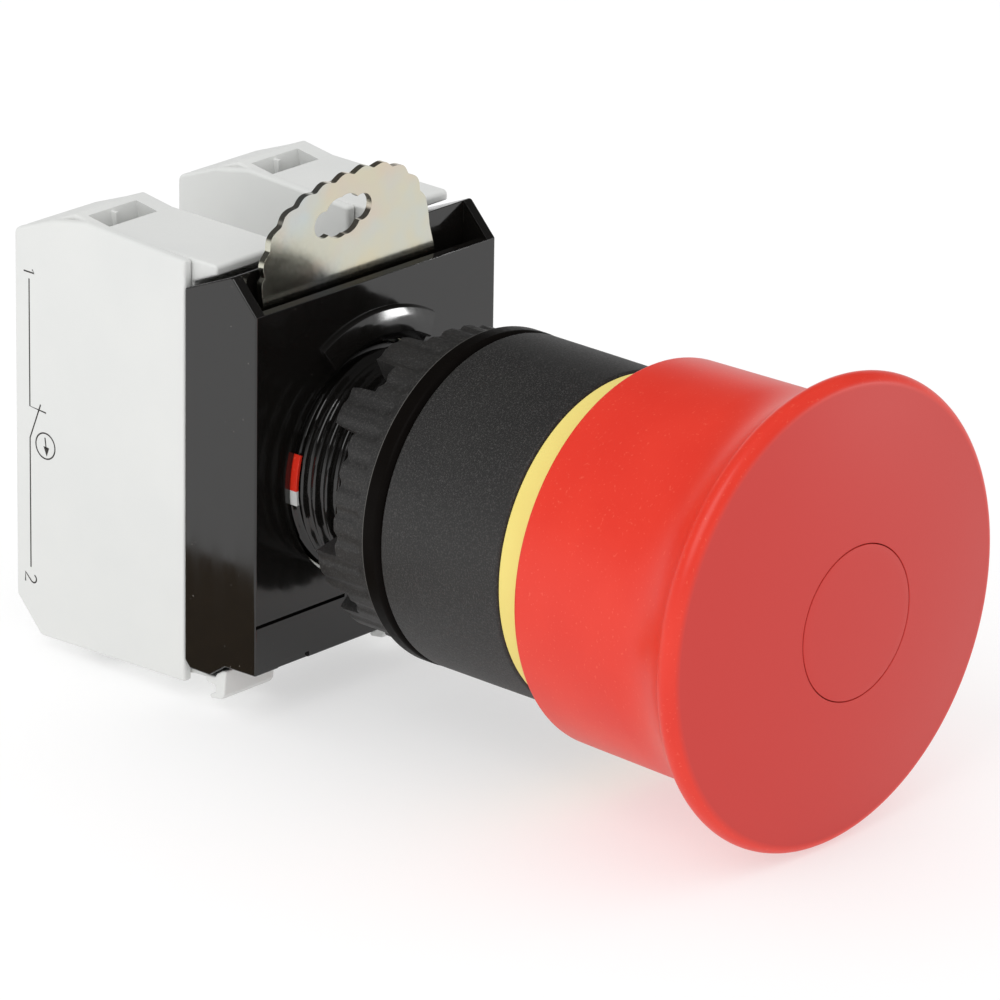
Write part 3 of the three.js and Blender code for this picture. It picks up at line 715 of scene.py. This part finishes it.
def threaded(radius, y, degrees, start, end, top, pitch, depth):
    """The radius of a rounded right-hand thread at a point. Its first turn rises from the root, and its last
    bit runs out to the full radius top. Points well inside top stay where they are."""
    phase = (y / pitch + degrees / 360) % 1
    crest = 1 - abs(2 * phase - 1)
    valley = 1 - smoothstep(crest, 0.15, 1) ** 1.2
    rise = smoothstep(y, start, start + pitch)
    fall = smoothstep(end - y, 0, pitch / 5)
    return radius if radius < top - 0.01 else top - depth * (1 - rise * (1 - valley)) * fall


def barrel_shape(radius, y, degrees):
    """The barrel's thread, and the three lugs at its rear."""
    if THREAD_Y[0] - 0.01 < y < THREAD_Y[1] + 0.01:
        return threaded(radius, y, degrees, *THREAD_Y, THREAD_R, THREAD_PITCH, THREAD_DEPTH), y
    behind_plate = y > barrel_hi.y - LUG_T
    if behind_plate and abs(radius - LOCK_GROOVE_R) < 0.05:
        from_lug = (degrees - 90 - PLATE_TILT + 60) % 120 - 60
        return radius + (THREAD_R - LOCK_GROOVE_R if abs(from_lug) < LUG_HALF_DEG else 0), y
    return radius, y


def barrel():
    steps = round((THREAD_Y[1] - THREAD_Y[0]) / THREAD_PITCH * 16)
    thread = [(THREAD_R, THREAD_Y[0] + (THREAD_Y[1] - THREAD_Y[0]) * k / steps) for k in range(steps + 1)]
    rear = barrel_hi.y
    outline = [
        (SLEEVE_R, barrel_lo.y),
        (FLANGE_R - 0.1, barrel_lo.y),
        (FLANGE_R, barrel_lo.y + 0.1),
        (FLANGE_R, gasket_lo.y - 0.05),
        (COLLAR_R, gasket_lo.y - 0.05),
        (COLLAR_R, 0.1),
        (THREAD_R - THREAD_DEPTH, 0.2),
        *thread,
        (THREAD_R, LOCK_GROOVE_Y - 0.05),
        (LOCK_GROOVE_R, LOCK_GROOVE_Y),
        (LOCK_GROOVE_R, rear - LUG_T - 0.01),
        (LOCK_GROOVE_R, rear - LUG_T + 0.01),
        (LOCK_GROOVE_R, rear - 0.1),
        (LOCK_GROOVE_R - 0.1, rear),
        (BARREL_BORE_R + 0.1, rear),
        (BARREL_BORE_R, rear - 0.1),
        (BARREL_BORE_R, THROAT_Y[1]),
        (THROAT_R, THROAT_Y[1]),
        (THROAT_R, THROAT_Y[0]),
        (SLEEVE_R, THROAT_Y[0]),
    ]
    key = block((-1.5, 1.5), (gasket_lo.y - 0.05, 0), (COLLAR_R - 0.5, COLLAR_R + 0.9), 0.1)
    return joined(lathe(outline, 216, barrel_shape), key)


NUT_R = extent("ring_nut")[1].x
NUT_FRONT_Y = extent("ring_nut")[0].y
NUT_TIP_Y = extent("ring_nut")[1].y
NUT_RING_REAR = 4.1
NUT_RIM = 0.9
NUT_PITCH_DEG = 10
NUT_GROOVE = 0.18
NUT_SCALLOP = 0.2
PAIR_FIRST_DEG = 34
PAIR_HALF_DEG = 14
NUT_LUG_HALF_DEG = 8


def nut_shape(radius, y, degrees):
    """Shallow grooves round the nut, a scalloped rear edge, and four pairs of lugs behind it."""
    from_groove = abs(degrees % NUT_PITCH_DEG - NUT_PITCH_DEG / 2)
    groove = smoothstep(from_groove, 0.4, 3.2)
    from_pair = abs((degrees - PAIR_FIRST_DEG + 45) % 90 - 45)
    lug = 1 - smoothstep(abs(from_pair - PAIR_HALF_DEG), NUT_LUG_HALF_DEG - 0.7, NUT_LUG_HALF_DEG)
    at_r, at_y = radius, y
    if radius > NUT_R - 0.5 and y > NUT_FRONT_Y + NUT_RIM:
        ramp = smoothstep(y, NUT_FRONT_Y + NUT_RIM, NUT_FRONT_Y + NUT_RIM + 0.4)
        at_r -= NUT_GROOVE * ramp * (1 - groove)
    if radius > THREAD_R + 0.8 and y > NUT_RING_REAR - 0.6:
        reach = smoothstep(y, NUT_RING_REAR - 0.6, NUT_RING_REAR)
        at_y += lug * (NUT_TIP_Y - NUT_RING_REAR) * reach - NUT_SCALLOP * (1 - lug) * (1 - groove) * reach
    return at_r, at_y


def ring_nut():
    """The nut's ring, which nut_shape gives its grooves and lugs."""
    bore = THREAD_R + 0.1
    front = NUT_FRONT_Y
    rear = NUT_RING_REAR
    outline = arc((NUT_R - 0.45, front + 0.45), 0.45, -90, 0, 4)
    outline += [(NUT_R, front + NUT_RIM), (NUT_R, front + NUT_RIM + 0.2), (NUT_R, front + NUT_RIM + 0.4)]
    outline += [(NUT_R, front + NUT_RIM + 0.4 + (rear - 0.8 - front - NUT_RIM) * k / 4) for k in range(1, 4)]
    outline += [(NUT_R, rear - 0.3), (NUT_R, rear - 0.15), (NUT_R - 0.12, rear - 0.02)]
    outline += [(NUT_R - 0.35, rear), (THREAD_R + 1.3, rear), (THREAD_R + 1.05, rear - 0.05)]
    outline += [(THREAD_R + 0.9, rear - 0.2), (bore + 0.3, rear - 0.2), (bore, rear - 0.5)]
    outline += [(bore, front + 0.3), (bore + 0.3, front)]
    return lathe(outline, 720, nut_shape)


piece("threaded_barrel", barrel(), "base", "gloss_black", ["barrel"])
piece("grooved_nut", ring_nut(), "ring_nut", "textured_black", ["ring_nut"])

# ---------------- mounting base

base_lo, base_hi = extent("base_body")
BASE_HALF_W = base_hi.x
BASE_FRONT_Y = 12
BASE_REAR_Y = base_hi.y - 0.2
BASE_WALL = 1
FRONT_WALL = 0.9
BASE_TOP_Z = 16.2
BASE_BOTTOM_Z = -15.6
CROSS_WALL_Y = (14.8, 16)
OPENING_R = 10.45
SLOT_FLOOR_Z = -13.8  # the locking plate's slot
HOLLOW_HALF_H = 15  # the hollow behind the cross wall
BAR_WAY_X = 12.1  # the transfer bar's way through the cross wall, half its width and height
BAR_WAY_Z = 3.7
LINE_X = -3.7  # the thin line across the lower front, from the -X edge to here
LINE_Z = (-11.35, -11.05)
RELIEF_X = (-11.7, -8)  # the shallow relief at the lower front edge
LAND_HALF_W = 4.6  # the low lands on the rear, for the middle block
LAND_Z = ((15.1, 16.5), (-16, -15.1))
BOSS_R = 13.5
BOSS_SLOPE = 0.22


def base_outline():
    """Side view of the base in (y, z)."""
    front = BASE_FRONT_Y
    return [
        (front, BASE_TOP_Z, 0.12),
        (front, BASE_BOTTOM_Z, 0.2),
        (front + 3.6, BASE_BOTTOM_Z - 0.1, 0.4),
        (front + 5.4, BASE_BOTTOM_Z - 1.35, 0.25),
        (BASE_REAR_Y - 0.6, BASE_BOTTOM_Z - 1.35, 0.3),
        (BASE_REAR_Y, BASE_BOTTOM_Z - 0.7, 0.4),
        (BASE_REAR_Y, BASE_TOP_Z + 0.6, 0.3),
        (front + 2.8, BASE_TOP_Z + 2.9, 0.35),
    ]


def arch_boss():
    """Raised arch above the barrel. Its face slopes back from a crest near its inner edge."""
    foot = BASE_FRONT_Y + 0.1
    crest = base_lo.y
    inner = OPENING_R + 0.2
    profile = [
        (inner, foot, 0),
        (inner, crest + 0.6, 0.08),
        (inner + 0.5, crest + 0.5, 0.1),
        (inner + 0.6, crest, 0.15),
        (BOSS_R - 0.15, crest + BOSS_SLOPE * (BOSS_R - inner - 0.6), 0.2),
        (BOSS_R, foot, 0),
    ]
    return lathe(rounded(profile, 0.1), 96, span=(60, 121))


def base_body():
    """A box open at the top, with a cross wall behind the plate's slot and a hollow behind that."""
    inner = BASE_HALF_W - BASE_WALL
    front = BASE_FRONT_Y
    body = prism(base_outline(), -BASE_HALF_W, BASE_HALF_W, corner=0.2, edge=0.2, steps=3)
    above = 30
    slot = block((-inner, inner), (front + FRONT_WALL, CROSS_WALL_Y[0]), (SLOT_FLOOR_Z, above))
    above_wall = block((-inner, inner), (front - 1, CROSS_WALL_Y[0]), (BASE_TOP_Z, above))
    hollow = block((-inner, inner), (CROSS_WALL_Y[1], BASE_REAR_Y + 1), (-HOLLOW_HALF_H, HOLLOW_HALF_H))
    bar_y = (CROSS_WALL_Y[0] - 1, CROSS_WALL_Y[1] + 1)
    bar_way = block((-BAR_WAY_X, BAR_WAY_X), bar_y, (-BAR_WAY_Z, BAR_WAY_Z))
    opening = rod(OPENING_R, 0, 0, (front - 1, 17), 128)
    line = block((-BASE_HALF_W + 0.1, LINE_X), (front - 0.3, front + 0.3), LINE_Z)
    relief = block(RELIEF_X, (front - 0.3, front + 0.25), (BASE_BOTTOM_Z - 0.2, BASE_BOTTOM_Z + 0.55))
    body = cut(body, slot, above_wall, hollow, bar_way, opening, line, relief)
    land_y = (BASE_REAR_Y - 0.1, BASE_REAR_Y + 0.2)
    lands = [block((-LAND_HALF_W, LAND_HALF_W), land_y, z) for z in LAND_Z]
    return joined(body, arch_boss(), *lands)


piece("base_moulding", base_body(), "base", "gloss_black", ["base_body"], bevel_mm=0.1)

# ---------------- locking plate

plate_lo, plate_hi = extent("locking_plate")
PLATE_Y = (plate_lo.y, plate_lo.y + 0.6)
TIP = {"half_w": 10.1, "foot_z": 17.5, "rise": 8.05, "power": 2.6}
TOOTH_PITCH = 2.4
TOOTH_DEPTH = 0.36
TOOTHED_ABOVE = 20
CLOVER_Z = 22
CLOVER_LOBES = [(-2.3, 1.15), (-0.5, 1.75), (0.5, 1.75), (2.3, 1.15)]  # where along x, and radius
DISC_R = 12.9
TAB_HALF_W = 10.6
INNER_TOOTH_R = 9.1
INNER_TOOTH_HALF_DEG = 7


def plate_tip():
    """The rounded, toothed end of the plate's tab in (x, z), from its +X foot to its -X foot."""
    steps = 280
    out = []
    length = 0
    last = None
    for i in range(steps + 1):
        angle = math.pi * i / steps
        x, z = (math.copysign(abs(c) ** (2 / TIP["power"]), c) for c in (math.cos(angle), math.sin(angle)))
        here = Vector((TIP["half_w"] * x, TIP["rise"] * z))
        length += (here - last).length if last else 0
        last = here
        wave = 1 - abs(math.cos(length / TOOTH_PITCH * math.pi)) ** 1.3
        depth = TOOTH_DEPTH * wave * smoothstep(TIP["foot_z"] + here.y, TOOTHED_ABOVE - 0.6, TOOTHED_ABOVE)
        here = here * (1 - depth / here.length)
        out.append((here.x, TIP["foot_z"] + here.y))
    return out


def locking_plate():
    """A ring with three inner teeth and a toothed tab above it, in which the clover-shaped hole is cut."""
    y = PLATE_Y
    foot = [(-TAB_HALF_W, 6), (TAB_HALF_W, 6), (TAB_HALF_W - 0.1, 15)]
    tab = prism([*foot, *plate_tip(), (-TAB_HALF_W + 0.1, 15)], *y, "y")
    through = (y[0] - 1, y[1] + 1)
    plate = cut(joined(rod(DISC_R, 0, 0, y, 128), tab), rod(THREAD_R + 0.2, 0, 0, through, 128))
    plate = cut(plate, *[rod(radius, x, CLOVER_Z, through, 64) for x, radius in CLOVER_LOBES])
    tooth_r = (INNER_TOOTH_R, THREAD_R + 0.6)
    tooth = [(tooth_r[0], y[0]), (tooth_r[1], y[0]), (tooth_r[1], y[1]), (tooth_r[0], y[1])]
    for middle in (90, 210, 330):
        span = (middle - INNER_TOOTH_HALF_DEG, middle + INNER_TOOTH_HALF_DEG)
        plate = joined(plate, lathe(tooth, 12, span=span))
    plate.transform(Matrix.Rotation(-math.radians(PLATE_TILT), 4, "Y"))
    return plate


plate = locking_plate()
piece("toothed_locking_plate", plate, "locking_plate", "zinc_steel", ["locking_plate"], bevel_mm=0.09)

# ---------------- contact blocks

BLOCK_Y = (BASE_REAR_Y + 0.05, 40.5)
BLOCK_W = 9.5
COVER_T = 1
WALL = 1
GAP = 0.05
MID_X = COVER_T + GAP + (BLOCK_W - WALL - COVER_T - GAP) / 2
TERMINAL_Z = 13.2
STRIP_Y = (29.6, 30.4)
WINDOW_Y = (31, 33.3)
WINDOW_HALF_W = 2.85
TOP_Z = 19.1
BOTTOM_Z = -18.4
CLIP_X = (0.4, 6.4)
CLIP_PIVOT = (23, -17.5)
PORT_HALF_W = 2.85  # the plunger's way in, half its width and height
PORT_HALF_H = 2.6
CAVITY_HALF_H = 6.9
TERMINAL_ROOM_Z = (8.6, 17.6)
TERMINAL_ROOM_REAR = 36.8
SCREW_ROOM_R = 1.95
SCREW_ROOM_FRONT = 24.6
LEAD_IN = 0.4  # how far the window is widened at the rear
WINDOW_RIB_Z = (17.3, 19.25)


def rear_outline(peak):
    """What the housing and its cover share: bottom, rear and the top as far as the given peak points."""
    return [
        (BLOCK_Y[0], BOTTOM_Z, 0.2),
        (37.6, -19, 0.5),
        (BLOCK_Y[1], -15.9, 0.6),
        (BLOCK_Y[1], 17.2, 0.7),
        *peak,
    ]


def clip_notch():
    """Room for the release clip."""
    return block((0, CLIP_X[1] + 0.1), (BLOCK_Y[0] - 1, 24.2), (-20, -16.4))


def wire_window(side):
    """Opening over a terminal, widened at the rear edge to lead a wire in."""
    x = (MID_X - WINDOW_HALF_W, MID_X + WINDOW_HALF_W)
    rear = WINDOW_Y[1]
    ramp = [(rear - 0.5, 18.2), (rear, 18.2), (rear + LEAD_IN, 20.2), (rear - 0.5, 21)]
    return block(x, WINDOW_Y, mirrored(side, 17, 21)), prism([(y, side * z) for y, z in ramp], *x)


def window_rib(side):
    """Thin rib in the middle of a window's rear wall."""
    y = (WINDOW_Y[1] - 0.4, WINDOW_Y[1] + 0.5)
    return block((MID_X - 0.2, MID_X + 0.2), y, mirrored(side, *WINDOW_RIB_Z), 0.08)


def screw_access(side):
    """Countersunk hole in the rear face for the screwdriver."""
    rear = BLOCK_Y[1]
    profile = [(0, 36), (2.5, 36), (2.5, rear - 0.5), (3.0, rear), (3.0, rear + 1), (0, rear + 1)]
    return moved(lathe(profile, 48), (MID_X, 0, side * TERMINAL_Z))


def housing():
    """A block's body, hollowed from its -X side, which the cover closes."""
    peak = [(36.3, 18.8, 0.5), (34.4, 19.6, 0.25), (WINDOW_Y[0], TOP_Z, 0.3), (17.6, TOP_Z, 0.7)]
    outline = rear_outline(peak) + [(17.6, 18.25, 0.2), (BLOCK_Y[0], 17.05, 0.1)]
    body = prism(outline, COVER_T + GAP, BLOCK_W, edge=0.25, steps=3)
    cavity_x = (0, BLOCK_W - WALL)
    port_x = (MID_X - PORT_HALF_W, MID_X + PORT_HALF_W)
    cutters = [
        block(cavity_x, (BLOCK_Y[0] + WALL, BLOCK_Y[1] - WALL), (-CAVITY_HALF_H, CAVITY_HALF_H)),
        block(port_x, (BLOCK_Y[0] - 1, BLOCK_Y[0] + WALL + 1), (-PORT_HALF_H, PORT_HALF_H)),
        clip_notch(),
    ]
    for side in (1, -1):
        cutters += [
            block(cavity_x, (STRIP_Y[0] - 0.1, TERMINAL_ROOM_REAR), mirrored(side, *TERMINAL_ROOM_Z)),
            block((0, port_x[1]), (STRIP_Y[0] - 0.1, STRIP_Y[1] + 0.1), mirrored(side, 6, 9)),
            *wire_window(side),
            rod(SCREW_ROOM_R, MID_X, side * TERMINAL_Z, (SCREW_ROOM_FRONT, STRIP_Y[0] + 0.1), 32),
            screw_access(side),
        ]
    return joined(cut(body, *cutters), window_rib(1), window_rib(-1))


def side_cover():
    """The thin cover on a block's -X side."""
    peak = [(36, 18.9, 1), (32.1, 19.65, 1), (BLOCK_Y[0], TOP_Z, 0.3)]
    return prism(rear_outline(peak), 0, COVER_T, edge=0.3, steps=3)


def release_clip():
    """Hook under the base: a tongue from the pivot, and a wider toe that holds the base and has a foot."""
    pivot = [(*p, 0) for p in arc(CLIP_PIVOT, 0.9, -90, 90, 10)]
    tongue = pivot + [(20.2, -17.1, 0.1), (17.3, -17.1, 0.1), (17.3, -17.75, 0.1), (20.2, -17.9, 0.1)]
    toe = [(18.2, -17.1, 0.2), (17.1, -17.1, 0.15), (16.9, -16.75, 0.15), (16.3, -16.35, 0.15)]
    toe += [(15.8, -16.25, 0.12), (16, -18.5, 0.4), (16.3, -18.95, 0.3), (17.6, -19.15, 0.15)]
    toe += [(17.8, -18.9, 0.15), (17.1, -18.5, 0.3), (17, -17.9, 0.3), (18.2, -17.75, 0.2)]
    behind_cover = COVER_T + 0.15
    return joined(prism(toe, *CLIP_X, edge=0.15, steps=3), prism(tongue, behind_cover, CLIP_X[1], edge=0.12))


def ribbon(points, width, face_x):
    """A printed line on a plane of constant x."""
    path = [Vector((face_x, y, z)) for y, z in points]
    section = [(-width / 2, -0.012), (width / 2, -0.012), (width / 2, 0.03), (-width / 2, 0.03)]
    closed = points[0] == points[-1]
    return sweep(path[:-1] if closed else path, section, Vector((1, 0, 0)), closed)


def digit(strokes, y, z, size):
    """A digit lying on its side, its top towards the front. Strokes are in digit widths and heights."""
    return [[(y - v * size, z - u * size) for u, v in stroke] for stroke in strokes]


ONE = [[(-0.18, 0.3), (0.05, 0.5), (0.05, -0.5)]]
TWO = [[*arc((0, 0.22), 0.27, 160, -35, 8), (-0.3, -0.5), (0.32, -0.5)]]


def contact_diagram():
    """A normally closed contact between terminals 1 and 2, with the arrow of positive opening."""
    line_y = BLOCK_Y[1] - 1.8
    lines = [
        [(line_y, 13.1), (line_y, 1.65), (line_y - 1.95, 1.5)],
        [(line_y - 1.3, 2.1), (line_y, -1.2), (line_y, -13)],
        arc((line_y - 1.85, -1.5), 1.15, 0, 360, 40),
        [(line_y - 1.8, -0.75), (line_y - 1.95, -1.75)],
    ]
    lines += digit(ONE, line_y, 13.75, 1.25) + digit(TWO, line_y, -14, 1.35)
    lines[2][-1] = lines[2][0]  # so that the circle closes
    width = 0.13
    shapes = [ribbon(points, width, 0) for points in lines]
    tip_y = line_y - 2.0
    head = [(tip_y - 0.3, -1.6), (tip_y + 0.38, -1.55), (tip_y, -2.4)]
    return merged(*shapes, prism(head, -0.012, 0.03))


def machine_screw():
    """Terminal screw with a cross recess, facing the rear. Its thread is a rounded helix."""
    tip, seat, top = 28, 34.55, 36.6
    shank, head, pitch, depth = 1.75, 2.75, 0.6, 0.3
    thread_y = (tip + 0.2, seat - 0.5)
    steps = round((thread_y[1] - thread_y[0]) / pitch * 8)
    thread = [(shank, thread_y[0] + (thread_y[1] - thread_y[0]) * k / steps) for k in range(steps + 1)]

    def shape(radius, y, degrees):
        if thread_y[0] <= y <= thread_y[1]:
            return threaded(radius, y, degrees, *thread_y, shank, pitch, depth), y
        return radius, y

    point = [(0, tip), (shank - 0.45, tip), (shank - 0.3, tip + 0.15)]
    crown = [(head, seat), (head, top - 0.75), (head - 0.12, top - 0.45), (head * 0.8, top - 0.1)]
    crown += [(head * 0.6, top), (0, top)]
    screw = lathe([*point, *thread, (shank - 0.25, seat), *crown], 64, shape)
    long, short = 1.65, 0.35
    recess = [block((-x, x), (top - 1, top + 1), (-z, z)) for x, z in ((long, short), (short, long))]
    return cut(screw, *recess)


RETURN_REST_Y = 32.45  # where a return spring bears on its contact bridge


def coil(radius, wire, turns, y):
    """A compression spring along Y with closed ends."""
    rise = y[1] - y[0] - 2 * wire
    steps = round(turns * 28)
    path = []
    for i in range(steps + 1):
        t = i / steps
        height = 0.15 * t + 0.85 * smoothstep(t, 0.5 / turns, 1 - 0.5 / turns)
        angle = math.tau * turns * t
        path.append(Vector((radius * math.cos(angle), y[0] + wire + rise * height, radius * math.sin(angle))))
    return sweep(path, arc((0, 0), wire, 0, 330, 11), Vector((0, 1, 0)))


def springy(obj):
    """Gives the coil that stands for a CAD node a mesh of its own."""
    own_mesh(obj)


def contact_block(side):
    """All the pieces of one contact block, drawn with the cover's face at x = 0 and moved into place."""
    start = (extent(f"{side}_side_cover")[0].x, 0, 0)

    def add(name, bm, body, slot, stands_for=(), bevel_mm=0.0):
        return piece(f"{side}_{name}", moved(bm, start), body, slot, stands_for, bevel_mm)

    add("block_housing", housing(), "base", "grey_plastic", [f"{side}_housing"], 0.1)
    add("block_cover", side_cover(), "base", "grey_plastic", [f"{side}_side_cover"], 0.06)
    clip = f"{side}_release_clip"
    add("release_hook", release_clip(), clip, "grey_plastic", [clip])
    add("contact_diagram", contact_diagram(), "base", "gloss_black").data.materials[0] = INK
    node = f"{side}_return_spring"
    seat_y = BLOCK_Y[1] - WALL - GAP
    wire = moved(coil(1.5, 0.25, 5, (RETURN_REST_Y, seat_y)), (MID_X, 0, 0))
    springy(add("return_coil", wire, "base", "spring_steel", [node]))
    keep_cad(f"{side}_plunger", "white_plastic")
    keep_cad(f"{side}_contact_bridge", "brass", 0.06)
    for end, sign in (("top", 1), ("bottom", -1)):
        keep_cad(f"{side}_{end}_contact", "brass", 0.06)
        keep_cad(f"{side}_{end}_clamp", "zinc_steel")
        screw = f"{side}_{end}_screw"
        made = moved(machine_screw(), (MID_X, 0, sign * TERMINAL_Z))
        add(f"{end}_terminal_screw", made, screw, "zinc_steel", [screw], 0.05)


contact_block("left")
contact_block("right")

# ---------------- inside the head

DETENT_Y = -8.6
TRIGGER_REST_Y = -27.4  # where the trigger spring bears on the mushroom's hub


def latch_wire():
    """A wire bent to a U round the stem, its bow above."""
    leg = 5.8
    foot_z = -6.8
    bow = arc((0, 2.9), leg, 180, 0, 40)
    points = [(-leg, foot_z), (-leg, -3), (-leg, 0.5), *bow, (leg, 0.5), (leg, -3), (leg, foot_z)]
    path = [Vector((x, DETENT_Y, z)) for x, z in points]
    return sweep(path, arc((0, 0), 0.5, 0, 330, 11), Vector((0, 1, 0)))


piece("latch_wire", latch_wire(), "base", "spring_steel", ["latch_spring"])
trigger_seat = BEZEL_FRONT_Y - GAP
trigger_coil = coil(5.6, 0.45, 5, (TRIGGER_REST_Y, trigger_seat))
trigger = piece("trigger_coil", trigger_coil, "base", "spring_steel", ["trigger_spring"])
springy(trigger)

keep_cad("cap_screw", "spring_steel", 0.05)
keep_cad("stem", "white_plastic")
keep_cad("seal_retainer", "gloss_black")
keep_cad("inner_seal", "rubber")
keep_cad("transfer_bar", "white_plastic")

FLAG_R = (10.05, 10.36)
FLAG_DEG = (162.5, 187)
FLAG_FOOT_DEG = (164, 171)
PALE_FROM_DEG = 180


def index_flag():
    """Curved flag in the gap round the barrel, with a foot behind the base's front wall."""
    lo, hi = extent("index_flag")
    inner, outer = FLAG_R
    profile = rounded([(inner, lo.y), (outer, lo.y), (outer, hi.y), (inner, hi.y)], 0.05)
    sole = [(10.25, hi.y - 0.3), (12.3, hi.y - 0.3), (12.3, hi.y), (10.25, hi.y)]
    return joined(lathe(profile, 48, span=FLAG_DEG), lathe(sole, 12, span=FLAG_FOOT_DEG))


flag = piece("index_tab", index_flag(), "base", "red_plastic", ["index_flag"])
flag.data.materials.append(PALE_PAINT)
for face in flag.data.polygons:
    at = face.center
    face.material_index = int(math.degrees(math.atan2(at.z, at.x)) % 360 > PALE_FROM_DEG)

# ---------------- floor, light and camera


def sheet(name, bm, z, shader):
    """A flat part of the stage at a height."""
    mesh = bpy.data.meshes.new(name)
    bm.to_mesh(mesh)
    bm.free()
    mesh.materials.append(shader.material)
    made = bpy.data.objects.new(name, mesh)
    made.location.z = z
    scene.collection.objects.link(made)
    return made


def floor(z):
    """A large pale sheet that gives off some light of its own, less of it towards glossy surfaces."""
    bm = bmesh.new()
    bmesh.ops.create_grid(bm, x_segments=8, y_segments=8, size=4)
    shader = Shader("floor", roughness=0.9, specular_ior_level=0.1)
    shader.set("Base Color", shader.mix(shader.noise(300, 2), (0.50, 0.50, 0.50), (0.51, 0.51, 0.51)))
    reflected = shader.node("LightPath").outputs["Is Glossy Ray"]
    shader.set("Emission Strength", shader.remap(reflected, 0, 1, 0.52, 0.33))
    shader.set("Emission Color", (1, 1, 1))
    sheet("floor", bm, z, shader)


def softbox(name, place, aim, size, radiance):
    """A square area light of a given brightness."""
    light = bpy.data.lights.new(name, "AREA")
    light.shape = "SQUARE"
    light.size = size
    light.energy = radiance * math.pi * size**2
    lamp = bpy.data.objects.new(name, light)
    lamp.location = place
    lamp.rotation_mode = "QUATERNION"
    lamp.rotation_quaternion = (Vector(aim) - Vector(place)).to_track_quat("-Z", "Y")
    lamp.visible_camera = False
    scene.collection.objects.link(lamp)
    return lamp


def world(brightness, sideways, overhead):
    """Soft white all round. Glossy surfaces see it darken overhead, as under a black ceiling."""
    surroundings = bpy.data.worlds.new("studio")
    surroundings.use_nodes = True
    tree = surroundings.node_tree
    background = tree.nodes["Background"]
    background.inputs["Color"].default_value = (1, 1, 1, 1)
    add, link = tree.nodes.new, tree.links.new
    height = add("ShaderNodeSeparateXYZ")
    link(add("ShaderNodeTexCoord").outputs["Generated"], height.inputs[0])
    ceiling = add("ShaderNodeMapRange")
    link(height.outputs["Z"], ceiling.inputs["Value"])
    for name, value in {"From Min": 0.1, "From Max": 0.4, "To Min": sideways, "To Max": overhead}.items():
        ceiling.inputs[name].default_value = value
    seen = add("ShaderNodeMix")
    link(add("ShaderNodeLightPath").outputs["Is Glossy Ray"], seen.inputs[0])
    seen.inputs[2].default_value = brightness
    link(ceiling.outputs[0], seen.inputs[3])
    link(seen.outputs[0], background.inputs["Strength"])
    scene.world = surroundings


def brown_card(z):
    """A card lying beside the base. Only reflections show it."""
    x, y = (-0.04, -0.016), (-0.005, 0.07)
    bm = bmesh.new()
    corners = ((x[0], y[0]), (x[1], y[0]), (x[1], y[1]), (x[0], y[1]))
    bm.faces.new([bm.verts.new((u, v, z)) for u, v in corners])
    shader = Shader("brown_card", roughness=0.9)
    shader.set("Base Color", shader.mix(shader.noise(3, 4), (0.10, 0.065, 0.03), (0.20, 0.13, 0.06)))
    card = sheet("brown_card", bm, 0, shader)
    card.visible_camera = False
    card.visible_diffuse = False
    card.visible_shadow = False


AZIMUTH = -47.82
ELEVATION = 20.87
ROLL = 0.906
LENS = 282.4
DISTANCE = 0.65909
OFFSET = (0.010461, -0.003245)


def camera():
    """Looks at the base's front from the left and above with a long lens, slightly rolled."""
    a, e, roll = (math.radians(value) for value in (AZIMUTH, ELEVATION, ROLL))
    back = Vector((math.sin(a) * math.cos(e), -math.cos(a) * math.cos(e), math.sin(e)))
    right = Vector((math.cos(a), math.sin(a), 0))
    up = back.cross(right)
    target = Vector((0, (BASE_FRONT_Y + PANEL_Y) * MM, 0))
    data = bpy.data.cameras.new("camera")
    data.lens = LENS
    data.sensor_width = 36
    data.clip_start = 0.05
    data.clip_end = 20
    view = bpy.data.objects.new("camera", data)
    rolled_right = math.cos(roll) * right + math.sin(roll) * up
    rolled_up = math.cos(roll) * up - math.sin(roll) * right
    axes = Matrix((rolled_right, rolled_up, back)).transposed()
    place = target + back * DISTANCE + right * OFFSET[0] + up * OFFSET[1]
    view.matrix_world = Matrix.Translation(place) @ axes.to_4x4()
    scene.collection.objects.link(view)
    scene.camera = view


LOWEST_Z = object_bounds()[0].z
floor(LOWEST_Z - 0.0002)
world(0.9, 0.76, 0.06)
brown_card(LOWEST_Z)
centre = (0, -0.01, 0)
softbox("key", (-0.5, -0.12, 0.5), centre, 0.45, 1.8)
glints = [
    softbox("glint on the arch", (0.443, -0.41, 0.035), (0.002, -0.005, 0.012), 0.07, 16),
    softbox("glint on the rim", (-0.25, -0.1, 0.54), (-0.018, -0.05, 0.01), 0.08, 6),
]
for lamp in glints:
    lamp.visible_diffuse = False
camera()
scene.view_settings.view_transform = "Standard"
scene.view_settings.look = "None"
